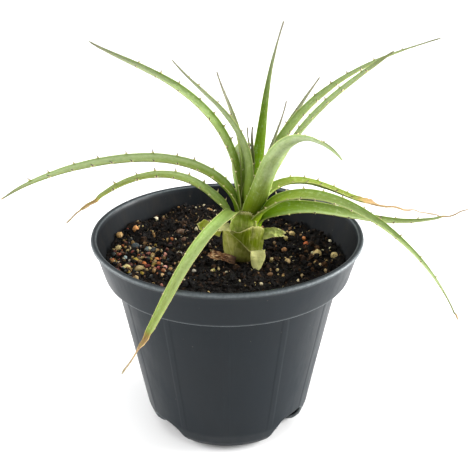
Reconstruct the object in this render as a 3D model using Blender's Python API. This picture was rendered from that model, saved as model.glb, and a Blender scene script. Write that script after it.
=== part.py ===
"""Potted puya: a spiny rosette on a short leaning stem, in a 120 mm nursery pot.

World: metres, +Z up, the pot's axis is the Z axis and the pot stands on z = 0. The constants
are in millimetres. Every object is one closed body. A leaf is a channel swept along its
midrib; the pot, the soil and the stem are lofted from rings.
"""
import math
import bpy

MM = 0.001

# pot: outer profile from the floor up, then the inner profile back down (radius, height)
POT_SEG = 60
POT_OUT = ((15, 0), (29.6, 0), (33.0, 1.6), (35.7, 4.8), (37.8, 10), (44.0, 42.7), (50.2, 75.0),
           (54.0, 75.3), (54.6, 76.0), (58.5, 90.4), (59.7, 91.0), (60.0, 92.0), (59.6, 92.8))
POT_IN = ((58.6, 93.0), (57.6, 92.6), (57.1, 91.6), (56.7, 90.0), (53.0, 76.8), (48.9, 75.0),
          (42.7, 42.5), (36.6, 10.2), (34.4, 5.8), (31.9, 3.0), (28.8, 1.8), (14, 1.8))
RIB_EVERY = 5           # one rib on every fifth ring vertex, so twelve in all
RIB_HEIGHT = 0.4
RIB_Z = (9.0, 76.0)     # the ribs run over this height of the wall
# drainage notches between the feet: middle and half angle in degrees, height
NOTCHES = ((-140.0, 17.5, 10.8), (-38.5, 19.0, 13.8), (41.0, 19.0, 12.0), (140.0, 19.0, 12.0))
NOTCH_LOW = 2.7
NOTCH_R = (26.5, 46.0)  # a notch is cut between these radii

# soil
SOIL_SEG = 48
SOIL_WALL = ((14, 2.2), (28.4, 2.2), (31.4, 3.4), (33.8, 6.2), (36.0, 10.4), (42.2, 42.6),
             (48.4, 75.3))
SOIL_RINGS = (1.0, 0.94, 0.86, 0.76, 0.64, 0.52, 0.40, 0.30, 0.22, 0.14, 0.07)
SOIL_Z = 79.2

# stem: (height, radius); its axis leans to +X with height
AXIS_X, AXIS_Y, AXIS_Z, AXIS_LEAN = 7.0, 1.5, 80.0, 0.09
STEM = ((71, 4.0), (76, 5.2), (81, 5.9), (88, 6.2), (94, 5.4), (97, 4.6), (100, 3.7), (103, 2.7),
        (106, 1.6), (109, 0.8), (112, 0.3))
STEM_SEG = 24
FIT = 0.3               # clearance of a piece in its seat

# leaves: name, azimuths of the seat, of the blade at its base and at its tip, height and radius
# of the seat, length of the upright sheath, length, pitch at the base, a third, two thirds and
# the tip (degrees above level), width, taper power, roll at the base and at the tip (degrees)
LEAVES = (
    ("leaf_left_long", (-175, -174.5, -183.4), 99, 4.6, 14, 122.6, (91.6, 12.9, -13.5, -37.2),
     7.7, 2.45, -18.1, -12.2),
    ("leaf_left_short", (-178, -163.4, -146.8), 96, 6, 8, 91.5, (56.4, 30.8, -12.7, -28),
     6.4, 2, -42.6, 7.7),
    ("leaf_upper_left", (171, 166.8, 173.4), 102, 3.6, 14, 106.2, (96.5, 60.8, 28.4, 30.6),
     7, 1.86, -7.8, -33.3),
    ("leaf_upper_left_thin", (-159, -171.4, -171.6), 107, 1.9, 12, 75.2, (121.6, 73.6, 47.3, 52.5),
     7.2, 2.23, 25, 4.8),
    ("leaf_back_left_thin", (116, 121.7, 138.4), 104.5, 3.5, 10, 60.3, (91, 80.1, 60.9, 68.7),
     4.4, 1.54, -8.6, -1),
    ("leaf_bud_left", (160, 170, 170), 112, 0.9, 8, 29, (95, 98, 82, 94),
     2.3, 1.8, 0, 0),
    ("leaf_bud_right", (50, 50, 50), 112, 1, 8, 29, (60, 84, 97, 76),
     2.6, 1.8, 0, 0),
    ("leaf_tall", (66, 62.7, 59.6), 108, 2, 10, 78.9, (27.3, 74.9, 69.1, 53.2),
     8, 1.08, 10.6, -3.5),
    ("leaf_back_right_thin", (-17, 7.9, 28.6), 109.5, 2, 10, 44.6, (48.2, 66.8, 69.1, 77.5),
     4.2, 1.28, -0.3, 1.1),
    ("leaf_back_right", (70, 44.1, 42.6), 103.5, 3.7, 11, 67.6, (60.5, 48.1, 43.6, 39.7),
     5.2, 1.56, 0.1, 0.4),
    ("leaf_right_high", (19, 18.1, 9.4), 101, 4.7, 12, 118.2, (83, 53.5, 26.4, 14.3),
     7.9, 1.38, 30.2, -4.4),
    ("leaf_right_second", (-17, -21.9, -7.5), 98.5, 5.4, 10, 98.2, (72.6, 62.4, 45.6, 39.5),
     6.9, 2.69, 13.1, 14.5),
    ("leaf_front_curl", (-63, -57.9, -53.7), 98, 5, 12, 87, (48.3, 62.3, 25.8, -27.9),
     9.2, 2.41, -47, -23.7),
    ("leaf_right_dry", (25, 24.3, 17.8), 97, 5.4, 9, 111.8, (112.7, -20.1, -20.2, -27.9),
     8.2, 1.45, -7.8, 31.9),
    ("leaf_right_arch", (-39, -38.6, -27.1), 95.5, 6.3, 9, 122.2, (74.8, 5.3, -32.5, -66.9),
     8.8, 1.19, 28.1, 13),
    ("leaf_right_low", (-2, -1.7, -5.9), 95, 6.4, 7, 96.6, (53.9, -8.2, -1.5, 26),
     8.7, 1.27, 44.3, 17.2),
    ("leaf_front_left", (-149, -111.6, -121), 99.5, 5.2, 9, 107, (8.8, -9.3, -31.5, -18.2),
     6.8, 1.99, -5.9, -16),
    ("leaf_back", (88, 153, 42), 96.8, 6.5, 10, 44.8, (60.8, 64.6, 35.7, -62.2),
     7.2, 2.4, 0, 0),
)
LEAF_STATIONS = 16
LEAF_ACROSS = 4         # strips across one face
LEAF_THICK = 0.9        # at the midrib near the base
LEAF_EDGE = 0.35        # share of that at the margins and at the tip
LEAF_WAIST = 0.5        # width at the seat, as a share of the full width
LEAF_CURL = 1.0         # half angle of the channel, radians
LEAF_TIP = 0.25         # width left at the tip, mm
LEAF_SUNK = 0.5         # the midrib line is half the channel's depth above its bottom

# sheaths, cut leaf bases wrapped round the stem: name, azimuth, half angle, how far left of the
# stem's middle line, radius at the lower edge, at mid height and at the top, then the heights
# of the top edge and of the lower edge at five places evenly spaced from one side to the other
SHEATHS = (
    ("sheath_barrel", -100, 118, 0.9, 7.3, 8.7, 8.9, (88.5, 94.6, 95.0, 91.0, 88.0),
     (82.5, 80.6, 80.5, 80.6, 82.5)),
    ("sheath_wrap", -68, 60, 1.2, 9.6, 9.75, 9.6, (96.3, 96.4, 98.6, 97.0, 92.5),
     (95.4, 92.2, 86.6, 84.4, 85.0)),
    ("sheath_front", -104, 55, 0.0, 7.6, 7.7, 7.4, (96.6, 102.2, 104.4, 103.6, 96.6),
     (90.0, 90.0, 90.0, 90.0, 90.0)),
)
SHEATH_THICK = 0.8

# cut stubs: name, base point, direction azimuth and pitch at the base and at the end, length,
# width at the base and at the end, roll towards the front
STUBS = (
    ("stub_right", (17.1, -1.4, 92.2), -6, 8, 24, -22, 9.2, 5.2, 2.0, 48),
    ("stub_left", (-2.7, 1.5, 91.7), 178, 172, 26, 18, 10.8, 4.6, 6.2, -48),
    ("stub_hanging", (13.4, -8.2, 87.2), -78, -118, -60, -76, 8.8, 6.4, 1.4, 0),
    ("flap_left", (1.0, -5.1, 97.0), -150, -172, 20, -24, 5.4, 4.6, 1.8, -30),
    ("leaf_dried", (4.0, -7.9, 82.6), 172, 156, 14, 0, 12.8, 3.6, 4.8, -46),
)
STUB_THICK = 0.8

# loose stones: x, y, radii along x, y and z, turn about z (degrees)
STONES = (
    (41.0, 6.0, 2.0, 1.8, 2.4, 20), (48.8, 5.5, 1.9, 1.7, 1.9, 0),
    (36.8, 17.6, 1.4, 1.3, 1.2, 0), (42.0, -4.4, 1.2, 1.1, 1.0, 0),
    (-9.3, 47.5, 2.0, 1.3, 1.1, 0), (-20.7, 22.2, 3.4, 1.6, 1.5, -10),
    (-42.2, 10.3, 2.0, 1.8, 1.6, 30), (-33.7, 7.0, 2.1, 1.4, 1.1, 0),
    (-40.4, -4.3, 1.7, 1.5, 1.4, 0), (-44.1, -11.3, 2.1, 1.4, 1.2, 15),
    (-38.4, -11.0, 2.3, 1.4, 1.3, 40), (-47.6, -7.6, 1.3, 1.2, 1.1, 0),
    (-28.4, 1.9, 1.6, 1.5, 1.3, 0), (-31.3, -2.4, 1.3, 1.2, 1.1, 0),
)
STONE_SINK = 0.35       # share of a stone's height that is under the soil
STONE_SEG, STONE_ROWS = 8, 5

MATERIALS = {
    "pot": ((0.060, 0.070, 0.080), 0.42),
    "soil": ((0.030, 0.020, 0.014), 0.95),
    "stem": ((0.12, 0.11, 0.03), 0.80),
    "leaf": ((0.26, 0.40, 0.14), 0.50),
    "sheath": ((0.30, 0.34, 0.08), 0.55),
    "stub": ((0.42, 0.48, 0.18), 0.60),
    "leaf_dried": ((0.33, 0.20, 0.11), 0.85),
    "stone": ((0.52, 0.42, 0.27), 0.85),
}


def smooth(t):
    t = min(1.0, max(0.0, t))
    return t * t * (3 - 2 * t)


def four(values, s):
    """The cubic through four values at s = 0, 1/3, 2/3 and 1."""
    a, b, c, d = values
    u = 3 * s
    return (-a * (u - 1) * (u - 2) * (u - 3) / 6 + b * u * (u - 2) * (u - 3) / 2
            - c * u * (u - 1) * (u - 3) / 2 + d * u * (u - 1) * (u - 2) / 6)


def through(table, z):
    """The value of a (height, value) table at the height z."""
    for (z0, v0), (z1, v1) in zip(table, table[1:]):
        if z <= z1:
            return v0 + (v1 - v0) * max(0.0, (z - z0) / (z1 - z0))
    return table[-1][1]


def axis(z):
    return AXIS_X + AXIS_LEAN * (z - AXIS_Z), AXIS_Y


def material(kind, name):
    colour, rough = MATERIALS[kind]
    mat = bpy.data.materials.new(name + "_mat")
    mat.use_nodes = True
    shader = mat.node_tree.nodes["Principled BSDF"]
    shader.inputs["Base Color"].default_value = (*colour, 1)
    shader.inputs["Roughness"].default_value = rough
    return mat


def make(name, points, faces, where, kind=None):
    """A mesh object from points in millimetres."""
    mesh = bpy.data.meshes.new(name)
    mesh.from_pydata([(x * MM, y * MM, z * MM) for x, y, z in points], [], faces)
    mesh.polygons.foreach_set("use_smooth", [True] * len(mesh.polygons))
    if kind:
        mesh.materials.append(material(kind, name))
    obj = bpy.data.objects.new(name, mesh)
    where.objects.link(obj)
    return obj


def rings(rows, first=None, last=None):
    """Points and faces of a closed body: rows of equal length, with a pole or a flat lid at
    each end."""
    n = len(rows[0])
    points = [p for row in rows for p in row]
    faces = []
    for r in range(len(rows) - 1):
        for i in range(n):
            j = (i + 1) % n
            faces.append((r * n + i, r * n + j, (r + 1) * n + j, (r + 1) * n + i))
    for pole, row in ((first, 0), (last, len(rows) - 1)):
        ids = [row * n + i for i in range(n)]
        if pole is None:
            faces.append(tuple(reversed(ids)) if row == 0 else tuple(ids))
            continue
        points.append(pole)
        top = len(points) - 1
        for i in range(n):
            j = (i + 1) % n
            faces.append((ids[j], ids[i], top) if row == 0 else (ids[i], ids[j], top))
    return points, faces


def circle(r, z, n, cx=0.0, cy=0.0, lift=None):
    out = []
    for i in range(n):
        a = -math.pi / 2 + 2 * math.pi * i / n
        rr = r + (lift(i) if lift else 0.0)
        out.append((cx + rr * math.cos(a), cy + rr * math.sin(a), z))
    return out


def soil_height(x, y):
    """Top of the soil: higher at the left and the back, heaped up at two places, with lumps."""
    z = SOIL_Z - 0.030 * x + 0.020 * y
    z += 1.6 * math.exp(-((x + 22) ** 2 + (y - 26) ** 2) / 260)
    z += 3.1 * math.exp(-((x + 16) / 12) ** 4 - ((y - 45) / 13) ** 2)
    z += 2.2 * math.exp(-((x + 44) ** 2 + (y - 29) ** 2) / 70)
    z += 0.55 * math.sin(0.31 * x + 1.0) * math.cos(0.27 * y + 0.4)
    z += 0.35 * math.sin(0.55 * x - 0.47 * y)
    return z


def soil_wall(z):
    """Radius of the soil where it meets the pot at the height z."""
    return 52.3 + (z - 77.0) * 3.7 / 13.2 if z > 76.6 else 47.9 + (z - 75.3) * 3.2


def notch(k, grow, stations=13):
    """Cutter of one drainage notch, made larger by grow on every side."""
    middle, half, tall = NOTCHES[k]
    half = half + math.degrees(grow / NOTCH_R[0])
    rows = []
    for i in range(stations):
        v = math.sin(math.pi / 2 * (2 * i / (stations - 1) - 1))
        a = math.radians(middle + half * v)
        top = NOTCH_LOW + (tall - NOTCH_LOW) * (1 - abs(v) ** 4) + grow
        rows.append([(r * math.cos(a), r * math.sin(a), z) for r, z in
                     ((NOTCH_R[0] - grow, -4), (NOTCH_R[1], -4), (NOTCH_R[1], top),
                      (NOTCH_R[0] - grow, top))])
    return rings(rows)


def build_pot(where, cutters):
    def rib(z):
        if RIB_Z[0] < z < RIB_Z[1]:
            return lambda i: RIB_HEIGHT if i % RIB_EVERY == 0 else 0.0
        return None
    rows = [circle(r, z, POT_SEG, lift=rib(z) if k < 6 else None)
            for k, (r, z) in enumerate(POT_OUT)]
    rows += [circle(r, z, POT_SEG) for r, z in POT_IN]
    points, faces = rings(rows, (0, 0, 0), (0, 0, POT_IN[-1][1]))
    pot = make("pot", points, faces, where, "pot")
    for k in range(len(NOTCHES)):
        cut(pot, make(f"cut_notch_{k + 1}", *notch(k, 0.0), cutters))
    return pot


def cut(obj, cutter):
    cutter.hide_render = True
    cutter.display_type = "WIRE"
    mod = obj.modifiers.new(cutter.name, "BOOLEAN")
    mod.operation = "DIFFERENCE"
    mod.solver = "EXACT"
    mod.object = cutter


def stem_rows(extra):
    rows = []
    for z, r in STEM:
        cx, cy = axis(z)
        rows.append(circle(r + extra, z, STEM_SEG, cx, cy))
    return rows


def stem_pole(row, dz):
    z, _ = STEM[row]
    cx, cy = axis(z)
    return cx, cy, z + dz


def build_soil(where):
    n = SOIL_SEG
    rows = [circle(r, z, n) for r, z in SOIL_WALL]
    edge = []
    for x, y, _ in circle(1.0, 0, n):
        r = 53.0
        for _ in range(4):
            r = soil_wall(soil_height(x * r, y * r)) - 0.05
        edge.append((x, y, r))
    for f in SOIL_RINGS:
        rows.append([(x * r * f, y * r * f, soil_height(x * r * f, y * r * f))
                     for x, y, r in edge])
    points, faces = rings(rows, (0, 0, SOIL_WALL[0][1]), (0, 0, soil_height(0, 0)))
    return make("soil", points, faces, where, "soil")


def stone_points(x, y, rx, ry, rz, turn, grow=0.0):
    """A lumpy ellipsoid, sunk a little into the soil."""
    z = soil_height(x, y) + rz * (1 - 2 * STONE_SINK)
    t = math.radians(turn)
    rows = []
    for k in range(1, STONE_ROWS):
        p = -math.pi / 2 + math.pi * k / STONE_ROWS
        row = []
        for i in range(STONE_SEG):
            a = 2 * math.pi * i / STONE_SEG
            lump = 1 + 0.09 * math.sin(2 * a + x) * math.cos(3 * p + y)
            ux = (rx + grow) * lump * math.cos(p) * math.cos(a)
            uy = (ry + grow) * lump * math.cos(p) * math.sin(a)
            row.append((x + ux * math.cos(t) - uy * math.sin(t),
                        y + ux * math.sin(t) + uy * math.cos(t),
                        z + (rz + grow) * math.sin(p)))
        rows.append(row)
    return rings(rows, (x, y, z - rz - grow), (x, y, z + rz + grow))


def frame_at(azimuth, pitch, roll):
    """Tangent, side and upper normal of a leaf; roll turns the last two about the first."""
    a, p, q = math.radians(azimuth), math.radians(pitch), math.radians(roll)
    t = (math.cos(p) * math.cos(a), math.cos(p) * math.sin(a), math.sin(p))
    s = (-math.sin(a), math.cos(a), 0.0)
    n = (-math.sin(p) * math.cos(a), -math.sin(p) * math.sin(a), math.cos(p))
    side = tuple(u * math.cos(q) + v * math.sin(q) for u, v in zip(s, n))
    up = tuple(v * math.cos(q) - u * math.sin(q) for u, v in zip(s, n))
    return t, side, up


def channel(point, side, up, width, curl, thick, across, edge, sunk=0.0):
    """One closed section of a channelled blade: the upper face out, the lower face back. A
    sunk blade has its middle that share of the channel's depth below the point."""
    half = width / 2
    radius = half / curl
    section = []
    for sign in (1, -1):
        for k in range(across + 1):
            v = (2 * k / across - 1) * -sign
            f = curl * v
            t = sign * thick / 2 * (1 - (1 - edge) * v * v)
            x = (radius - t) * math.sin(f)
            h = radius - (radius - t) * math.cos(f) - sunk * radius * (1 - math.cos(curl))
            section.append(tuple(p + x * s + h * u for p, s, u in zip(point, side, up)))
    return section


def sweep(name, kind, start, azimuths, pitch_of, length, width_of, curl_of, thick_of, rolls,
          where, stations=LEAF_STATIONS, across=LEAF_ACROSS, edge=LEAF_EDGE,
          sunk_of=lambda s: 0.0, roll_ramp=18.0):
    """A blade along a midrib that starts at a point and follows its azimuth and pitch. Its
    roll settles over the ramp, or is there from the start."""
    rows, point, last = [], list(start), None
    for i in range(stations):
        s = i / (stations - 1)
        azimuth = azimuths[0] + (azimuths[1] - azimuths[0]) * s
        roll = rolls[0] + (rolls[1] - rolls[0]) * s
        if roll_ramp:
            roll *= smooth(s * length / roll_ramp)
        t, side, up = frame_at(azimuth, pitch_of(s), roll)
        if last:
            step = length / (stations - 1) / 2
            point = [p + (a + b) * step for p, a, b in zip(point, last, t)]
        last = t
        rows.append(channel(point, side, up, width_of(s), curl_of(s), thick_of(s), across,
                            edge, sunk_of(s)))
    points, faces = rings(rows)
    return make(name, points, faces, where, kind)


def build_leaf(row, where):
    name, (seat, az0, az1), z0, r0, sheath, length, pitches, width, power, roll0, roll1 = row
    cx, cy = axis(z0)
    seat = math.radians(seat)
    start = (cx + r0 * math.cos(seat), cy + r0 * math.sin(seat), z0)

    def pitch(s):
        return 90 + (four(pitches, s) - 90) * smooth(s * length / sheath)

    def breadth(s):
        grow = LEAF_WAIST + (1 - LEAF_WAIST) * smooth(s * length / 28)
        return LEAF_TIP + (width - LEAF_TIP) * grow * (1 - s ** (1.2 * power)) ** (1.5 / power)

    def curl(s):
        hug = min(1.3, breadth(s) / 2 / r0)
        return hug + (LEAF_CURL - hug) * smooth(s * length / 16)

    def thick(s):
        return LEAF_THICK * (1 - (1 - LEAF_EDGE) * s)

    def sunk(s):
        return LEAF_SUNK * smooth(s * length / 20)
    return sweep(name, "leaf", start, (az0, az1), pitch, length, breadth, curl, thick,
                 (roll0, roll1), where, sunk_of=sunk)


def bent(values, share):
    """Smooth curve through values evenly spaced over shares 0..1: on a span, the cubic whose
    slopes at its ends are the mean slopes of the values beside them."""
    last = len(values) - 1
    slopes = [values[min(i + 1, last)] - values[max(i - 1, 0)] for i in range(last + 1)]
    slopes = [m / (2 if 0 < i < last else 1) for i, m in enumerate(slopes)]
    k = min(share * last, last - 1e-9)
    i = int(k)
    w = k - i
    return ((2 * w ** 3 - 3 * w ** 2 + 1) * values[i] + (w ** 3 - 2 * w ** 2 + w) * slopes[i]
            + (3 * w ** 2 - 2 * w ** 3) * values[i + 1] + (w ** 3 - w ** 2) * slopes[i + 1])


def build_sheath(row, where, across=12, up=5):
    """A cut leaf base: a shell round the stem, from its lower edge to its cut top."""
    name, azimuth, half, aside, r_low, r_mid, r_top, tops, lows = row
    rows = []
    for i in range(across + 1):
        v = 2 * i / across - 1
        a = math.radians(azimuth + half * v)
        top, low = bent(tops, (v + 1) / 2), bent(lows, (v + 1) / 2)
        section = []
        for sign in (1, -1):
            for k in range(up + 1):
                u = k / up if sign > 0 else 1 - k / up
                z = low + (max(top, low + 0.6) - low) * u
                w = (z - min(lows)) / (max(tops) - min(lows))
                r = (r_low * (1 - w) * (1 - 2 * w) + 4 * r_mid * w * (1 - w)
                     + r_top * w * (2 * w - 1))
                r += sign * SHEATH_THICK / 2 * (1 - 0.6 * u * u) * (1 - 0.5 * v * v)
                cx, cy = axis(z)
                section.append((cx - aside + r * math.cos(a), cy + r * math.sin(a), z))
        rows.append(section)
    points, faces = rings(rows)
    return make(name, points, faces, where, "sheath")


def build_stub(row, where):
    name, start, az0, az1, p0, p1, length, w0, w1, roll = row
    kind = "leaf_dried" if name == "leaf_dried" else "stub"

    def pitch(s):
        return p0 + (p1 - p0) * smooth(s)
    return sweep(name, kind, start, (az0, az1), pitch, length,
                 lambda s: w0 + (w1 - w0) * s ** 3, lambda s: 0.62,
                 lambda s: STUB_THICK * (1 - 0.3 * s), (roll, roll), where, stations=9,
                 roll_ramp=0.0)


def outward(obj):
    """Turn a body whose faces point inward the right way out."""
    mesh = obj.data
    volume = 0.0
    for poly in mesh.polygons:
        ids = list(poly.vertices)
        a = mesh.vertices[ids[0]].co
        for i, j in zip(ids[1:], ids[2:]):
            volume += a.dot(mesh.vertices[i].co.cross(mesh.vertices[j].co))
    if volume < 0:
        mesh.flip_normals()


def main():
    for obj in list(bpy.data.objects):
        bpy.data.objects.remove(obj)
    plant = bpy.data.collections.new("potted_puya")
    cutters = bpy.data.collections.new("cutters")
    for collection in (plant, cutters):
        bpy.context.scene.collection.children.link(collection)

    build_pot(plant, cutters)
    soil = build_soil(plant)
    for k in range(len(NOTCHES)):
        cut(soil, make(f"cut_soil_notch_{k + 1}", *notch(k, 0.5), cutters))
    points, faces = rings(stem_rows(0), stem_pole(0, -0.5), stem_pole(-1, 0.3))
    make("stem", points, faces, plant, "stem")
    points, faces = rings(stem_rows(FIT)[:4], stem_pole(0, -0.5 - FIT), stem_pole(3, 3))
    cut(soil, make("cut_stem", points, faces, cutters))
    for k, stone in enumerate(STONES, 1):
        points, faces = stone_points(*stone)
        make(f"stone_{k:02d}", points, faces, plant, "stone")
        points, faces = stone_points(*stone, grow=0.2)
        cut(soil, make(f"cut_stone_{k:02d}", points, faces, cutters))
    for row in LEAVES:
        build_leaf(row, plant)
    for row in SHEATHS:
        build_sheath(row, plant)
    for row in STUBS:
        build_stub(row, plant)
    for collection in (plant, cutters):
        for obj in collection.objects:
            outward(obj)


main()
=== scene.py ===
"""Looks of the potted puya: a spiny rosette on a short leaning stem in a 120 mm nursery pot.

Lengths in this script are millimetres, turned into metres where a mesh is made. +Z is up, the
pot's axis is the Z axis and the pot stands on z = 0. Each piece stands for the CAD node that it
is named after, on the same formulas, worked out on finer grids.
"""
import math

import bpy
import numpy as np
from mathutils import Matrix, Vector


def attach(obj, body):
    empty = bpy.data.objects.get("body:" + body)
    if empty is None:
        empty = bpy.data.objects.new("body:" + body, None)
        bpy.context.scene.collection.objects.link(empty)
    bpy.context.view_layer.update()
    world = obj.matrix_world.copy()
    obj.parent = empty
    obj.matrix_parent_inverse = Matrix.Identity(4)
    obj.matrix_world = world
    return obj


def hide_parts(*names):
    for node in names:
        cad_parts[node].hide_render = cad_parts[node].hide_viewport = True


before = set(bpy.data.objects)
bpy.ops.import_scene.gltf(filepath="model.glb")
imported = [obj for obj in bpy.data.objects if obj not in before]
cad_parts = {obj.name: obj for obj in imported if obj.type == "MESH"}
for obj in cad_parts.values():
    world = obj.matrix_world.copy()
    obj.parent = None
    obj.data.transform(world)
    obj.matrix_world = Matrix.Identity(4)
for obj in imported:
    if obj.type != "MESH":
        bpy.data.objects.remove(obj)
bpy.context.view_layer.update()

MM = 0.001
RNG = np.random.default_rng(20417)

# ---------------------------------------------------------------- numbers shared with the CAD

POT_OUT = ((15, 0), (29.6, 0), (33.0, 1.6), (35.7, 4.8), (37.8, 10), (44.0, 42.7), (50.2, 75.0),
           (54.0, 75.3), (54.6, 76.0), (58.5, 90.4), (59.7, 91.0), (60.0, 92.0), (59.6, 92.8))
POT_IN = ((58.6, 93.0), (57.6, 92.6), (57.1, 91.6), (56.7, 90.0), (53.0, 76.8), (48.9, 75.0),
          (42.7, 42.5), (36.6, 10.2), (34.4, 5.8), (31.9, 3.0), (28.8, 1.8))
RIBS, RIB_LOW, RIB_HIGH = 12, 9.0, 74.6
RIB_SHOWN, RIB_HALF = 0.13, 1.6     # the ribs stand out this much (0.4 in the CAD); half width
SQUEEZE_TO = 16.0          # below this height the wall is squeezed over the notches
# drainage notches between the feet: middle and half angle in degrees, height
NOTCHES = ((-140.0, 17.5, 10.8), (-38.5, 19.0, 13.8), (41.0, 19.0, 12.0), (140.0, 19.0, 12.0))
NOTCH_LOW = 2.7            # height of a notch at its two ends
NOTCH_INNER = 26.5         # the floor keeps inside this radius at the notches, and the soil too,
SOIL_BACK_TO = 14.4        # up to this height
FLOOR_THICK = 1.8

SOIL_WALL = ((14, 2.2), (28.4, 2.2), (31.4, 3.4), (33.8, 6.2), (36.0, 10.4), (42.2, 42.6),
             (48.4, 75.3))
SOIL_Z = 79.2
SOIL_SUNK = 0.9            # the crumbs' smooth ground lies this much under the CAD's top

AXIS_X, AXIS_Y, AXIS_Z, AXIS_LEAN = 7.0, 1.5, 80.0, 0.09
STEM = ((71, 4.0), (76, 5.2), (81, 5.9), (88, 6.2), (94, 5.4), (97, 4.6), (100, 3.7), (103, 2.7),
        (106, 1.6), (109, 0.8), (112, 0.3))

# leaves: name, azimuths of the seat, of the blade at its base and at its tip, height and radius
# of the seat, length of the upright sheath, length, pitch at the base, a third, two thirds and
# the tip, width, taper power, roll at the base and at the tip
LEAVES = (
    ("leaf_left_long", (-175, -174.5, -183.4), 99, 4.6, 14, 122.6, (91.6, 12.9, -13.5, -37.2),
     7.7, 2.45, -18.1, -12.2),
    ("leaf_left_short", (-178, -163.4, -146.8), 96, 6, 8, 91.5, (56.4, 30.8, -12.7, -28),
     6.4, 2, -42.6, 7.7),
    ("leaf_upper_left", (171, 166.8, 173.4), 102, 3.6, 14, 106.2, (96.5, 60.8, 28.4, 30.6),
     7, 1.86, -7.8, -33.3),
    ("leaf_upper_left_thin", (-159, -171.4, -171.6), 107, 1.9, 12, 75.2, (121.6, 73.6, 47.3, 52.5),
     7.2, 2.23, 25, 4.8),
    ("leaf_back_left_thin", (116, 121.7, 138.4), 104.5, 3.5, 10, 60.3, (91, 80.1, 60.9, 68.7),
     4.4, 1.54, -8.6, -1),
    ("leaf_bud_left", (160, 170, 170), 112, 0.9, 8, 29, (95, 98, 82, 94),
     2.3, 1.8, 0, 0),
    ("leaf_bud_right", (50, 50, 50), 112, 1, 8, 29, (60, 84, 97, 76),
     2.6, 1.8, 0, 0),
    ("leaf_tall", (66, 62.7, 59.6), 108, 2, 10, 78.9, (27.3, 74.9, 69.1, 53.2),
     8, 1.08, 10.6, -3.5),
    ("leaf_back_right_thin", (-17, 7.9, 28.6), 109.5, 2, 10, 44.6, (48.2, 66.8, 69.1, 77.5),
     4.2, 1.28, -0.3, 1.1),
    ("leaf_back_right", (70, 44.1, 42.6), 103.5, 3.7, 11, 67.6, (60.5, 48.1, 43.6, 39.7),
     5.2, 1.56, 0.1, 0.4),
    ("leaf_right_high", (19, 18.1, 9.4), 101, 4.7, 12, 118.2, (83, 53.5, 26.4, 14.3),
     7.9, 1.38, 30.2, -4.4),
    ("leaf_right_second", (-17, -21.9, -7.5), 98.5, 5.4, 10, 98.2, (72.6, 62.4, 45.6, 39.5),
     6.9, 2.69, 13.1, 14.5),
    ("leaf_front_curl", (-63, -57.9, -53.7), 98, 5, 12, 87, (48.3, 62.3, 25.8, -27.9),
     9.2, 2.41, -47, -23.7),
    ("leaf_right_dry", (25, 24.3, 17.8), 97, 5.4, 9, 111.8, (112.7, -20.1, -20.2, -27.9),
     8.2, 1.45, -7.8, 31.9),
    ("leaf_right_arch", (-39, -38.6, -27.1), 95.5, 6.3, 9, 122.2, (74.8, 5.3, -32.5, -66.9),
     8.8, 1.19, 28.1, 13),
    ("leaf_right_low", (-2, -1.7, -5.9), 95, 6.4, 7, 96.6, (53.9, -8.2, -1.5, 26),
     8.7, 1.27, 44.3, 17.2),
    ("leaf_front_left", (-149, -111.6, -121), 99.5, 5.2, 9, 107, (8.8, -9.3, -31.5, -18.2),
     6.8, 1.99, -5.9, -16),
    ("leaf_back", (88, 153, 42), 96.8, 6.5, 10, 44.8, (60.8, 64.6, 35.7, -62.2),
     7.2, 2.4, 0, 0),
)
# thickness at the base, share of it left at the margins and at the tip, curl (half the width over
# the radius of the section), width at the tip, share of its depth by which a section is lowered
LEAF_THICK, LEAF_EDGE, LEAF_CURL, LEAF_TIP, LEAF_SUNK = 0.9, 0.35, 1.0, 0.25, 0.5
# mm of blade over which the roll, the curl, the waist and the lowering settle
ROLL_RAMP, CURL_RAMP, WAIST_RAMP, SUNK_RAMP = 18.0, 16.0, 28.0, 20.0
CAD_STATIONS = 16          # the CAD's midribs have this many points

# sheaths: name, azimuth, half angle, how far left of the stem's middle line, radius at the lower
# edge, at mid height and at the top, then the heights of the top edge and of the lower edge at
# five places evenly spaced from one side to the other
SHEATHS = (
    ("sheath_barrel", -100, 118, 0.9, 6.6, 8.3, 8.9, (88.5, 94.6, 95.0, 91.0, 88.0),
     (82.5, 80.6, 80.5, 80.6, 82.5)),
    ("sheath_wrap", -68, 60, 1.2, 9.6, 9.75, 9.6, (96.3, 96.4, 98.6, 97.0, 92.5),
     (95.4, 92.2, 86.6, 84.4, 85.0)),
    ("sheath_front", -104, 55, 0.0, 7.6, 7.7, 7.4, (97.0, 103.3, 104.7, 103.6, 96.6),
     (90.0, 90.0, 90.0, 90.0, 90.0)),
)
SHEATH_THICK = 0.8

# cut stubs: name, base point, direction azimuth and pitch at the base and at the end, length,
# width at the base and at the end, roll towards the front
STUBS = (
    ("stub_right", (15.9, -1.3, 91.8), -6, 8, 24, -22, 9.9, 5.4, 1.6, 48),
    ("stub_left", (-2.7, 1.5, 91.7), 178, 172, 26, 18, 10.8, 4.6, 6.2, -48),
    ("stub_hanging", (13.4, -7.8, 87.4), -78, -122, -60, -78, 9.8, 6.8, 0.6, 0),
    ("flap_left", (1.0, -5.1, 97.0), -150, -172, 20, -24, 5.4, 4.6, 1.8, -30),
    ("leaf_dried", (3.8, -8.0, 82.6), 172, 156, 14, 0, 12.8, 3.4, 5.0, -46),
)
STUB_THICK = 0.8

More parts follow.
